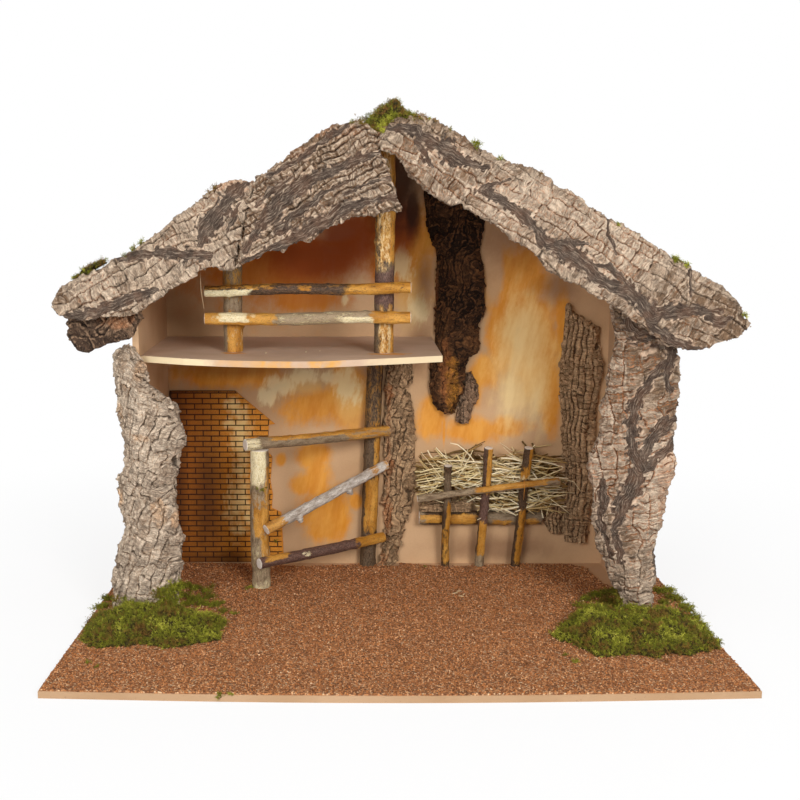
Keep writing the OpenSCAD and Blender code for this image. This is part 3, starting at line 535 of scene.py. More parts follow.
# Painted shade where the roof, the loft, the hanging bark and the rack shade the wall
PAINTED_SHADE_SPOTS = (
    (514, 240, 60, 42), (560, 288, 34, 24), (500, 548, 80, 16), (420, 350, 18, 40), (235, 368, 80, 14),
    (424, 284, 14, 44),
)
# Painted shadow in the dark gaps under the ridge and beside the hanging bark
PAINTED_SHADOW_SPOTS = ((396, 186, 40, 62), (412, 208, 14, 42))
# Deep orange-brown paint on the loft's end of the wall, which is also painted shade under the left slab and in the gap
# between the post and the hanging bark
DEEP_PAINT_AND_SHADE_SPOTS = ((318, 258, 74, 34), (404, 226, 20, 36), (350, 240, 40, 40))


def wall_finish():
    """Fibreboard brushed with thin ochre and cream paint on its front, with painted shade and painted shadow where the
    roof, the loft, the bark and the rack shade it.
    """
    f = Finish("painted back wall")
    board, fibre = fibreboard(f, 14, 0.3, srgb(208, 170, 130), srgb(190, 152, 112), srgb(154, 118, 82))
    brushed = f.noise(38, 6, f.leaning(1.5, 0.15), rough=0.7)
    swept = f.noise(120, 5, f.leaning(4.0, 0.2), rough=0.68)
    cloud = f.sway(18, 3)
    wander = (brushed - 0.5) * 1.5 + cloud * 1.2
    stroke = (swept - 0.5) * 2.6 + (brushed - 0.5) * 1.8 + cloud * 0.8
    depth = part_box("back_wall")[0].y / MM

    def brush(places, strokes, low, high):
        """How much paint lies on patches with an edge made by strokes."""
        return (patches(f, places, depth) + strokes).step(low, high)

    bare = brush(BARE_PATCHES, wander * 0.8, -0.1, 0.45)
    ochre = brush(OCHRE_PATCHES, wander, -0.2, 0.5) * (1 - bare * 0.9)
    cream = brush(CREAM_PATCHES, stroke, 0.0, 0.7)
    # The loft's end of the wall is painted in a deeper ochre
    at_loft = f.along("Z").step(226, 250) * (1 - f.along("X").step(0, 30))
    strong = f.mix(swept.step(0.3, 0.7), srgb(212, 134, 32), srgb(226, 158, 62))
    strong = f.mix(at_loft * 0.7, strong, srgb(190, 102, 18))
    tone = f.coats(
        board,
        (ochre * (0.78 + 0.3 * brushed), strong),
        (brush(GLOW_PATCHES, wander, -0.1, 0.6) * 0.5, srgb(232, 190, 118)),
        (brush(VEIL_PATCHES, stroke * 0.7, -0.3, 1.2) * 0.62, srgb(240, 216, 158)),
        (cream * 0.6, srgb(238, 224, 176)),
        # Painted shade
        (brush(PAINTED_SHADE_SPOTS, wander * 0.6, -0.1, 0.8) * 0.5, srgb(92, 44, 12)),
        # Deep orange-brown paint and painted shade
        (brush(DEEP_PAINT_AND_SHADE_SPOTS, wander * 0.4, -0.1, 0.6) * 0.85, srgb(146, 58, 4)),
        # Painted shadow
        (brush(PAINTED_SHADOW_SPOTS, wander * 0.5, -0.1, 0.7) * 0.93, srgb(48, 21, 6)),
    )
    painted = 1 - f.along("Y").step(depth + 0.2, depth + 0.8)
    height = fibre * 0.3 + ochre * brushed * 0.6 + cream * swept
    return f.surface(f.mix(painted, board, tone), 0.7, f.bump(height, 0.35, 0.4))


def loft_finish():
    """Fibreboard whose front edge is dabbed with cream and ochre paint, with ochre at the feet of the posts."""
    f = Finish("loft floor")
    board, fibre = fibreboard(f, 16, 0.3, srgb(212, 184, 160), srgb(194, 164, 138), srgb(160, 130, 104))
    across = f.along("X") + f.sway(90, 3) * 26
    edge = (f.facing("Y") * -1).step(0.5, 0.7)
    cream = (1 - across.step(-150, -134)).larger(across.step(-30, 0) * 0.8)
    ochre = (across.step(-142, -130) * 0.5).larger(across.step(-116, -104)) * (1 - across.step(-48, -36))
    feet = spot(f, (-129, 26, 218), (11, 8, 0)).larger(spot(f, (-4, 20, 218), (20, 7, 0)))
    tone = f.coats(
        board,
        (edge * cream * 0.7, srgb(232, 214, 170)),
        (edge * ochre * f.noise(60, 3).step(0.35, 0.6) * 0.85, srgb(214, 156, 72)),
        ((feet + f.sway(160, 3) * 1.4).step(-0.1, 0.5) * (1 - edge) * 0.85, GOLD),
    )
    return f.surface(tone, 0.78, f.bump(fibre, 0.15, 0.3))


def bark_finish(name, light, middle, deep, rust, vein):
    """Bark: pale plates with fine broken cracks, dark or rusty between them, and smooth charcoal veins, with painted
    shade in its hollows and a painted highlight on its ridges.
    """
    f = Finish(name)
    # A brighter tone of the light bark: the painted highlight on the raised parts, and the pale rims of the veins
    worn_and_highlight = tuple(min(1.0, 1.32 * c) for c in light)
    grain, chips, flow = (f.layer(layer, "Vector") for layer in ("grain", "chips", "flow"))
    hollow, dusk = f.layer("hollow"), f.layer("dusk")
    fine = f.noise(1.5, 4, grain, rough=0.7)
    grit = f.noise(4.0, 2, grain)
    along = f.noise(1.0, 4, f.stretched(grain, 0.09, 0.8, 0.5), rough=0.7)
    strand = f.noise(1.0, 5, f.stretched(flow, 0.12, 1.0, 1.0), rough=0.7)
    cloud = f.noise(0.07, 4, grain)
    broken = f.noise(0.3, 3, grain).step(0.38, 0.62)
    sliced = f.noise(0.11, 3, grain).step(0.38, 0.58)
    gritty = fine - 0.5
    plate_edge = f.cells(1.0, "Distance", chips, "DISTANCE_TO_EDGE", 0.7)
    plate_tone = f.cells(1.7, "Color", chips, randomness=0.7)

    # Cracks between the plates, hairs along them and slices across the grain, with painted shade that darkens the
    # hollows and the deep recesses
    lines = (1 - plate_edge.step(0.01, 0.1)) * (0.1 + 0.6 * broken)
    hair = f.ridge(chips, (1.3, 0.4, 0.5), 0.06, 3.0) * (0.3 + 0.6 * broken)
    slices = f.ridge(grain, (0.46, 0.07, 0.2), 0.1, 2.0) * (0.2 + 0.8 * sliced)
    torn = gritty * 0.9 + (strand - 0.5) * 1.2 + f.sway(0.3, 4, grain, rough=0.7) * 0.7
    vein_in = (f.layer("vein") + torn).step(0.36, 0.62)
    core = f.layer("crack").step(0.3, 0.95) * 0.8
    for darker in (
        hollow.step(0.4, 1.0) * 0.85, f.layer("deep").step(0.4, 1.1) * 0.6, lines * (0.5 + 0.25 * fine), hair * 0.5,
        slices * (0.35 + 0.45 * fine), (1 - fine.step(0.34, 0.46)) * 0.5, f.noise(0.6, 2, grain).step(0.7, 0.76) * 0.8,
    ):
        core = core.larger(darker)
    core = core * (1 - vein_in * 0.75)

    share = f.layer("tone") + (plate_tone - 0.5) * 0.5 + (cloud - 0.5) * 0.8 + f.layer("pale") * 0.4 - dusk * 0.6
    halo = (hollow.step(-0.1, 0.6) * f.layer("rusty") * 1.2).clamped()
    charcoal = f.coats(
        vein,
        (cloud.step(0.4, 0.65) * 0.5, f.mix(0.18, vein, rust)),
        (strand.step(0.5, 0.66) * 0.75, f.mix(0.5, vein, light)),
        ((1 - strand.step(0.36, 0.5)) * 0.85, deep),
        (grit.step(0.62, 0.7) * fine.step(0.45, 0.6) * 0.7, f.mix(0.7, vein, light)),
        # Painted highlight on the raised parts of a vein
        ((0 - hollow).step(0.25, 1.0) * 0.35, light),
    )
    tone = f.coats(
        middle,
        (share + gritty * 0.5, light),
        (along.step(0.5, 0.75) * 0.3, f.mix(0.5, middle, deep)),
        (f.layer("warm") * (0.3 + 0.8 * fine), rust),
        (f.layer("gold") * (fine + along * 0.5).step(0.55, 0.85), GOLD),
        # Painted highlight on the raised parts of the plates
        ((0 - hollow).step(0.2, 1.0) * 0.5, worn_and_highlight),
        (halo * 0.6, rust),
        # The cracks, and the painted shade in the hollows, in the deep tone
        (core, f.mix(dusk, deep, srgb(20, 15, 12))),
        (vein_in * 0.95, charcoal),
        (f.layer("rim") * (0.3 + 0.8 * fine), f.mix(0.2, worn_and_highlight, rust)),
    )
    height = fine * 0.9 + grit * 0.4 + along * 0.4 - lines * 1.3 - hair * 0.5 - slices * 1.1
    return f.surface(tone, 0.92, f.bump(height + vein_in * (strand * 1.2 - 0.5), 0.85, 0.6))


def twig_finish(name, dark_tone, grey_tone, grey_shade):
    """A twig with its bark on, brushed with ochre and cream paint, and its pale sawn ends."""
    f = Finish(name)
    around = f.layer("around", "Vector")
    sawn = f.layer("sawn")
    fine = f.noise(1.7, 5, around, rough=0.75)
    blotch = f.noise(0.42, 4, around, rough=0.65)
    cloud = f.noise(0.15, 3, around)
    speck = f.noise(2.3, 3, around, rough=0.65)
    spread = (fine - 0.5) * 2.1 + (blotch - 0.5) * 2.3

    def cover(layer, strokes, low, high):
        """How much of a layer lies on the twig, with an edge made by strokes."""
        return (f.layer(layer) - 0.5 + spread * strokes).step(low, high)

    dark = f.mix(fine.step(0.4, 0.68), dark_tone, srgb(112, 84, 58))
    grey = f.coats(grey_tone, (blotch.step(0.35, 0.65), grey_shade), (fine.step(0.5, 0.66) * 0.6, dark_tone))
    red = f.coats(srgb(66, 42, 36), (fine.step(0.35, 0.68), srgb(128, 98, 84)),
                  (speck.step(0.66, 0.72) * 0.6, srgb(206, 190, 172)))
    paint_tone = f.coats(srgb(184, 122, 34), (cloud.step(0.35, 0.65), srgb(220, 160, 70)),
                         ((fine - 0.5) * 0.8 + 0.2, srgb(120, 78, 28)))
    cream = cover("cream", 0.6, -0.12, 0.24)
    flecks = speck.step(0.55, 0.66).larger((blotch * fine).step(0.31, 0.4)) * (1 - sawn)
    tone = f.coats(
        dark,
        (cover("grey", 0.5, -0.3, 0.35), grey),
        (cover("red", 0.4, -0.2, 0.25), red),
        (cover("ochre", 0.7, -0.2, 0.2) * 0.94, paint_tone),
        (cream * 0.9, f.mix(fine.step(0.35, 0.7), srgb(242, 232, 198), srgb(214, 190, 132))),
        (flecks * 0.6, f.mix(cream * 0.45, dark_tone, srgb(176, 132, 62))),
        (sawn, f.mix(f.noise(300, 3), srgb(246, 240, 232), srgb(220, 204, 184))),
    )
    return f.surface(tone, 0.55, f.bump(fine + blotch - flecks * 0.6, 0.6, 0.4))


# ---------------------------------------------------------------- bark

# Smooth dark veins on the slabs: places they run through in pixels of the frame, with their half width in mm
VEINS = {
    "roof_bark_right": (
        ((389, 125, 2.5), (405, 127, 3.5), (420, 132, 3.5), (434, 143, 6), (447, 149, 7), (462, 160, 5), (486, 168, 2)),
        ((418, 142, 3), (428, 158, 3), (433, 166, 1)),
        ((509, 180, 1), (490, 186, 2.5), (479, 191, 3), (499, 198, 4), (519, 210, 5), (532, 226, 4), (545, 243, 6),
         (562, 250, 7.5), (581, 262, 7), (594, 275, 6), (609, 286, 4), (629, 291, 6), (640, 300, 6), (652, 316, 8),
         (668, 312, 5), (692, 310, 4.5), (722, 312, 2.5)),
        ((552, 243, 2), (570, 242, 3), (588, 244, 1)),
        ((610, 217, 1.2), (609, 234, 1.2), (617, 254, 1.0)),
        ((650, 322, 5), (672, 341, 4), (690, 347, 4), (706, 350, 2)),
        ((692, 272, 1.2), (691, 296, 1.2)),
        ((706, 318, 2), (720, 322, 4), (731, 318, 2)),
        ((590, 264, 1), (606, 266, 2.5), (620, 276, 3), (630, 286, 4)),
    ),
    "roof_bark_left_upper": (
        ((390, 149, 2), (360, 157, 2.5), (331, 170, 4), (307, 182, 5), (286, 197, 7), (262, 222, 6), (246, 250, 3)),
        ((400, 196, 2), (367, 201, 3), (343, 208, 4), (322, 224, 7), (297, 238, 5), (270, 250, 5), (246, 260, 3)),
        ((346, 124, 2), (319, 142, 2.5), (297, 158, 2.5), (266, 176, 1.5)),
        ((350, 180, 1), (320, 196, 2.5), (298, 212, 4), (276, 232, 4)),
        ((398, 176, 1), (372, 182, 1.5), (340, 196, 1.5)),
        ((292, 178, 2), (270, 190, 3), (256, 206, 2)),
    ),
    "roof_bark_left_lower": (
        ((246, 184, 2), (234, 194, 5), (219, 210, 7), (206, 228, 7), (199, 244, 3)),
        ((118, 259, 2), (142, 254, 4), (166, 253, 5), (186, 256, 6), (212, 254, 3)),
        ((66, 318, 3), (96, 313, 4), (120, 303, 4.5), (144, 293, 4), (158, 290, 2)),
        ((228, 232, 1), (234, 216, 2.5), (240, 204, 1)),
    ),
    "bark_column_right": (
        ((640, 322, 14), (668, 330, 12), (690, 330, 6)),
        ((664, 330, 9), (672, 356, 6), (664, 378, 3), (671, 392, 2)),
        ((672, 352, 4), (652, 376, 4), (640, 392, 5), (632, 410, 5), (629, 430, 6), (632, 452, 5), (640, 468, 5)),
        ((664, 420, 4), (650, 440, 5), (640, 462, 5), (632, 484, 7), (622, 506, 6), (612, 528, 4), (620, 560, 3)),
        ((698, 424, 3), (680, 438, 4.5), (664, 450, 4), (646, 466, 5)),
        ((690, 400, 3), (680, 420, 3), (664, 428, 5)),
        ((656, 552, 3), (664, 572, 4.5), (672, 592, 3.5)),
        ((604, 480, 3), (600, 520, 3), (612, 560, 2)),
    ),
}

# Each slab: its grain as degrees above +X and how wildly it wanders, the size in mm of its plates along and across
# the grain and that of its chips, how far the chips stand out, the depth in mm of its cracks, steps, knobs and
# valleys, the half width of a valley and the charcoal in it from 0 to 1, how rusty and how dark it is
SLABS = {
    "bark_column_left": (70, 1.2, (12, 8), (4.4, 3.2), 0.45, 1.35, 1.0, 2.2, 0.4, 0.25, 0.0, 0.3, 0.0),
    "bark_column_right": (96, 1.0, (7, 14), (2.5, 11.0), 0.5, 0.8, 0.9, 1.5, 0.6, 0.35, 0.0, 0.9, 0.0),
    "bark_strip_centre": (76, 1.4, (8, 6.5), (2.4, 2.0), 0.5, 0.8, 1.5, 1.4, 0.9, 0.3, 0.0, 0.15, 0.1),
    "bark_hanging": (80, 1.8, (13, 9), (2.6, 2.4), 0.5, 0.8, 1.7, 2.4, 0.9, 0.3, 0.0, 0.1, 0.35),
    "bark_hanging_tip": (90, 1.2, (6, 3.8), (1.7, 2.0), 0.4, 0.5, 0.6, 0.4, 1.0, 0.3, 0.0, 0.1, 0.0),
    "bark_corner": (89, 0.55, (5.5, 5.4), (2.7, 2.7), 0.5, 1.0, 0.8, 0.7, 1.1, 0.4, 0.0, 0.2, 0.05),
    "bark_corner_chip": (90, 0.6, (6, 5), (2.6, 2.6), 0.4, 0.8, 0.7, 0.5, 1.0, 0.5, 0.1, 0.1, 0.15),
    "rack_bark": (0, 1.0, (8, 3.5), (2.4, 1.8), 0.1, 0.3, 0.3, 0.8, 0.2, 0.5, 0.0, 0.1, 0.15),
    "roof_bark_left_lower": (31, 1.0, (10, 10), (2.4, 7.0), 0.6, 0.9, 1.2, 1.8, 0.9, 0.4, 0.0, 0.5, 0.0),
    "roof_bark_left_upper": (30, 1.1, (8, 7.0), (2.4, 5.0), 0.8, 1.1, 1.2, 1.2, 1.3, 0.5, 0.45, 0.2, 0.7),
    "roof_bark_right": (-31, 1.1, (15, 10), (2.4, 8.0), 0.55, 0.9, 1.1, 1.8, 0.7, 0.35, 0.0, 0.6, 0.0),
    "roof_bark_eave": (20, 1.3, (11, 8), (3.2, 3.0), 0.7, 1.0, 1.8, 2.6, 0.8, 0.4, 0.0, 0.15, 0.25),
    "top_bark_left_lower": (30, 1.0, (12, 11), (3.0, 7.0), 0.6, 1.2, 1.4, 0.5, 1.4, 0.8, 0.0, 0.4, 0.05),
    "top_bark_left_upper": (30, 1.0, (12, 9), (3.0, 5.0), 0.6, 1.2, 1.3, 0.5, 1.7, 1.2, 0.5, 0.2, 0.15),
    "top_bark_right_lower": (-30, 1.0, (16, 12), (3.0, 7.5), 0.6, 1.2, 1.4, 0.5, 1.3, 0.8, 0.0, 0.5, 0.0),
    "top_bark_right_upper": (-30, 1.0, (14, 11), (3.0, 7.0), 0.6, 1.2, 1.3, 0.5, 1.4, 0.8, 0.2, 0.4, 0.1),
}

# Size in mm of a voxel of the front slabs and of those on the roof, and the depth in mm of the roof boards' front
SLAB_VOXEL = 0.68
TOP_VOXEL = 1.15
ROOF_FRONT = -19
# About how many pixels of the frame a millimetre of the stable's front takes
PIXELS_PER_MM = LENS_PX / 920

# Places where a slab is lighter, warmer or darker: layer, middle and half sizes in pixels of the frame, strength
DABS = {
    "bark_column_right": (
        ("pale", 672, 505, 26, 75, 0.9), ("pale", 690, 395, 14, 30, 0.6), ("pale", 660, 588, 20, 30, 0.6),
        ("dusk", 650, 340, 60, 44, 0.95), ("dusk", 622, 470, 20, 80, 0.5), ("dusk", 644, 385, 46, 62, 0.7),
        ("warm", 668, 490, 10, 60, 0.35),
    ),
    "bark_column_left": (
        ("warm", 160, 513, 10, 14, 0.5), ("warm", 139, 372, 5, 9, 0.6), ("warm", 141, 438, 9, 4, 0.5),
        ("warm", 173, 520, 4, 12, 0.6), ("warm", 119, 411, 4, 7, 0.5), ("warm", 118, 500, 4, 9, 0.6),
        ("pale", 130, 480, 18, 60, 0.3), ("pale", 145, 580, 26, 20, 0.3), ("dusk", 130, 388, 14, 6, 0.3),
    ),
    "bark_hanging": (
        ("pale", 434, 254, 3, 24, 1.0), ("warm", 435, 290, 3, 40, 0.5), ("gold", 452, 385, 9, 34, 0.9),
        ("warm", 446, 372, 8, 40, 0.9), ("dusk", 455, 240, 60, 80, 0.7),
    ),
    "bark_hanging_tip": (("pale", 484, 412, 18, 24, 0.45),),
    "bark_strip_centre": (
        ("warm", 388, 394, 6, 15, 1.0), ("warm", 390, 468, 5, 12, 0.8), ("warm", 387, 512, 7, 22, 1.0),
        ("warm", 381, 559, 7, 9, 0.8), ("warm", 388, 450, 3, 120, 0.5), ("pale", 400, 470, 14, 110, 0.2),
    ),
    "bark_corner": (("pale", 586, 440, 16, 130, 0.5), ("warm", 610, 400, 3, 50, 0.9)),
    "roof_bark_left_lower": (
        ("pale", 150, 275, 80, 30, 0.45), ("warm", 220, 178, 40, 12, 0.4), ("pale", 190, 215, 40, 18, 0.3),
    ),
    "roof_bark_left_upper": (
        ("warm", 328, 130, 34, 6, 0.4), ("warm", 290, 151, 18, 6, 0.3), ("dusk", 305, 205, 110, 60, 0.95),
        ("pale", 370, 196, 26, 10, 0.4),
    ),
    "roof_bark_right": (
        ("pale", 570, 200, 80, 34, 0.5), ("dusk", 430, 165, 60, 40, 0.5), ("dusk", 520, 235, 50, 14, 0.4),
        ("dusk", 690, 326, 64, 34, 0.6),
    ),
    "roof_bark_eave": (
        ("warm", 118, 320, 18, 10, 0.6), ("pale", 118, 322, 18, 10, 0.3), ("dusk", 84, 336, 26, 20, 0.9),
    ),
}


def vein_cover(node, points, ragged, depth, seed):
    """How far inside a vein each point lies, from 0 to 1, its bright rim, and its place along and across it."""
    cover, rim = np.zeros((2, len(points)))
    flow = np.zeros((len(points), 3))
    flat = points[:, [0, 2]] + 1.8 * warp(points, 7, 3, seed, ways=2)
    swell = 1 + 0.4 * fractal(points / 13, 2, seed + 3)
    for number, places in enumerate(VEINS.get(node, ())):
        line = [(at_pixel(x, y, depth), half) for x, y, half in places]
        nearest = np.full(len(points), FAR_AWAY)
        passed = 0.0
        place = np.zeros((len(points), 2))
        for (a, wide), (b, next_wide) in zip(line, line[1:]):
            start = np.array((a.x, a.z))
            run = np.array((b.x, b.z)) - start
            span = np.hypot(*run)
            share = np.clip((flat - start) @ run / span ** 2, 0, 1)
            gap = flat - start - share[:, None] * run
            far = np.hypot(*gap.T)
            side = np.sign(gap[:, 0] * run[1] - gap[:, 1] * run[0])
            inside = far / ((wide + share * (next_wide - wide)) * swell)
            closer = inside < nearest
            place = np.where(closer[:, None], np.stack([passed + share * span, side * far], 1), place)
            nearest = np.minimum(nearest, inside)
            passed += span
        mine = 1 - smooth((nearest + ragged - 0.8) / 0.35)
        numbered = np.column_stack([place, np.full(len(points), number * 9.0)])
        flow = np.where((mine > cover)[:, None], numbered, flow)
        cover = np.maximum(cover, mine)
        rim = np.maximum(rim, 1 - np.clip(np.abs(nearest + ragged - 1.15) / 0.2, 0, 1))
    return cover, rim * (1 - cover) * smooth(0.3 + 1.8 * noise(points / 5, seed + 5)), flow


def plates(points, long, wide, seed):
    """Rows of broken plates along the first axis: mm to a plate's long and short edges, place on it, its numbers."""
    across = points[:, 1] / wide + 0.4 * noise(points / np.array([long * 1.9, wide * 2.3, 14.0]), seed)
    row = np.floor(across)
    flat = np.zeros(len(row))
    run = points[:, 0] / long + 7 * hashed(np.stack([row, flat, flat], 1), seed + 1)
    run = run + 0.45 * noise(np.stack([run * 1.2, row * 3.7, points[:, 2] / 16], 1), seed + 2)
    place = np.floor(run)
    run, rise = run - place - 0.5, across - row - 0.5
    numbers = [hashed(np.stack([row, place, flat], 1), seed + 3 + k) for k in range(3)]
    return (0.5 - np.abs(rise)) * wide, (0.5 - np.abs(run)) * long, run, rise, numbers


def bark_relief(node, points, mesh, seed):
    """Height of the bark in mm at each point, and its colouring."""
    grain, wild, plate, chip, chip_d, crack_d, step_d, knob_d, valley_d, valley_w, charcoal, rust, dark = SLABS[node]

    def rough(size, octaves, number):
        """Fractal noise with its own number."""
        return fractal(points / size, octaves, seed + number)

    def grained(sizes, number):
        """Fractal noise with a size along the grain, one across it and one into the slab."""
        return fractal(bent / np.array(sizes), 2, seed + number)

    turn = math.radians(grain)
    along = points[:, 0] * math.cos(turn) + points[:, 2] * math.sin(turn)
    aside = -points[:, 0] * math.sin(turn) + points[:, 2] * math.cos(turn) + 0.75 * points[:, 1]
    sway = warp(points, 19, 3, seed)
    bent = np.stack([along, aside, points[:, 1]], 1) + wild * (4.0 * sway + 0.75 * warp(points, 3.6, 2, seed + 20))

    # Plates with cracks between them, a valley along some, and each tilted its own way
    side, end, run, rise, numbers = plates(bent, *plate, seed + 5)
    strength = rough(10, 2, 13)
    crack = (1 - smooth((end - 0.1) / 0.8)) * smooth(0.4 + 1.8 * strength)
    split = (1 - smooth((side - 0.1) / 0.7)) * smooth(0.55 - 1.6 * strength)
    crack = np.maximum(crack, split)
    valley = 1 - smooth((side - valley_w * (0.7 + 1.3 * grained((24, 9, 12), 7))) / 1.3)
    valley *= smooth(0.9 + 1.2 * rough(23, 2, 6))
    tilt = run * (numbers[1] - 0.5) * 2.4 + rise * (numbers[2] - 0.5) * 1.6
    round_edge = 1 - smooth(np.minimum(side, end) / 1.5)

    # Chips on the plates, streaks along the grain, and creases
    chip_side, chip_end, chip_run, _, chip_numbers = plates(bent + 0.8 * sway[:, [1, 2, 0]], *chip, seed + 9)
    chip_crack = (1 - smooth(np.minimum(chip_side * 0.7, chip_end) / 0.5)) * smooth(0.7 + 1.2 * rough(8, 2, 15))
    chip_height = chip_numbers[0] - 0.5 + 1.3 * chip_run * (chip_numbers[1] - 0.5)
    streak = grained((14, 1.7, 4), 14)
    crease = 1 - smooth(np.abs(grained((5, 3.4, 4.5), 16)) / 0.3)
    lump = rough(7, 2, 9)

    vein, rim, flow = vein_cover(node, points, 0.8 * (chip_numbers[2] - 0.5), points[:, 1].min() + 6, seed + 11)
    strand = fractal(flow / np.array([12, 1.3, 1.0]), 3, seed + 17)
    plain = 1 - 0.85 * vein
    height = knob_d * rough(21, 2, 8) + 0.45 * lump
    height += plain * (step_d * ((numbers[0] - 0.5) * 1.2 + tilt) + chip_d * chip_height
                       + 0.2 * rough(1.5, 2, 10) + 0.2 * streak)
    height -= plain * (crack_d * crack + 0.25 * round_edge + 0.5 * chip_crack + 0.25 * crease)
    height -= valley_d * valley * (1 - 0.6 * vein)
    height += vein * (0.55 * strand - 0.5)

    patch = rough(28, 2, 12)
    in_valley = valley * charcoal * smooth(0.8 + 1.5 * patch)
    layers = {
        # How far each point lies below its softened relief, near and wide: the material darkens these hollows as
        # painted shade and lightens the ridges as a painted highlight
        "hollow": np.clip((blurred(mesh, height, 10) - height) / 0.55, -1, 1),
        "deep": np.clip((blurred(mesh, height, 40) - height) / 1.3, -1, 1),
        "tone": np.clip(0.55 + 0.35 * (numbers[0] - 0.5) + 0.25 * patch + 0.5 * (chip_numbers[2] - 0.5), 0, 1),
        "crack": np.maximum(crack, 0.75 * chip_crack) * plain, "vein": np.maximum(vein, in_valley), "rim": rim,
        "rusty": rust * smooth((patch + 0.3 + 0.5 * lump) / 0.4), "dusk": np.full(len(points), dark),
        "grain": bent, "chips": bent / np.array([*chip, 3.0]),
        "flow": np.where((in_valley > vein)[:, None], bent, flow),
        **{name: np.zeros(len(points)) for name in ("warm", "pale", "gold")},
    }
    blot = rough(5, 3, 18)
    for layer, across, down, half_w, half_h, strength in DABS.get(node, ()):
        middle = at_pixel(across, down, points[:, 1].min() + 4)
        reach = np.hypot((points[:, 0] - middle.x) / half_w, (points[:, 2] - middle.z) / half_h) * PIXELS_PER_MM
        inside = smooth((1.15 - reach + 0.5 * blot) / 0.5)
        layers[layer] = np.maximum(layers[layer], inside * strength)
    return height, layers


def held_back(node, points, moved):
    """Keeps a slab's glued faces where the frame has them."""
    low, high = box_of(node)
    if node.startswith("top_bark"):
        return moved
    if not node.startswith(("roof_bark", "rack_bark")):
        moved[:, 1] = np.minimum(moved[:, 1], high[1])
    lowest = low[2] if node == "rack_bark" else min(low[2], points[:, 2].min())
    moved[:, 2] = np.maximum(moved[:, 2], lowest)
    return moved


def relief_share(node, points, normals):
    """How much of its relief each corner of a slab gets: faces that are glued or lie on a board stay flat."""
    if node.startswith("top_bark"):
        return smooth((normals[:, 2] + 0.35) / 0.5)
    if node.startswith("roof_bark"):
        rear = smooth((normals[:, 1] - 0.2) / 0.5) * smooth((0.4 - normals[:, 2]) / 0.3)
        under = smooth((-normals[:, 2] - 0.2) / 0.4) * (points[:, 1] > ROOF_FRONT)
        return (1 - 0.85 * rear) * (1 - 0.85 * under)
    if node == "rack_bark":
        return smooth((normals[:, 2] + 0.6) / 0.6)
    return 1 - smooth((normals[:, 1] - 0.3) / 0.5)


def make_slab(node, number, material, slot):
    """One slab of bark, cracked and furrowed over its solid."""
    on_top = node.startswith("top_bark")
    mesh = remeshed(node, (TOP_VOXEL if on_top else SLAB_VOXEL) * (1.0), 5)
    points, normals = get_points(mesh)
    seed = number * 50
    height, layers = bark_relief(node, points, mesh, seed)
    share = relief_share(node, points, normals)
    edge = 1 - np.abs(normals[:, 2 if on_top else 1])
    ragged = warp(points, 3.2, 2, seed + 20) * ((0.5 + 1.5 * edge) * share)[:, None]
    set_points(mesh, held_back(node, points, points + normals * (height * share)[:, None] + ragged))
    paint(mesh, **layers)
    mesh.update()
    add_piece(node.replace("bark", "bark_slab"), mesh, slot, material, node)


# ---------------------------------------------------------------- twigs

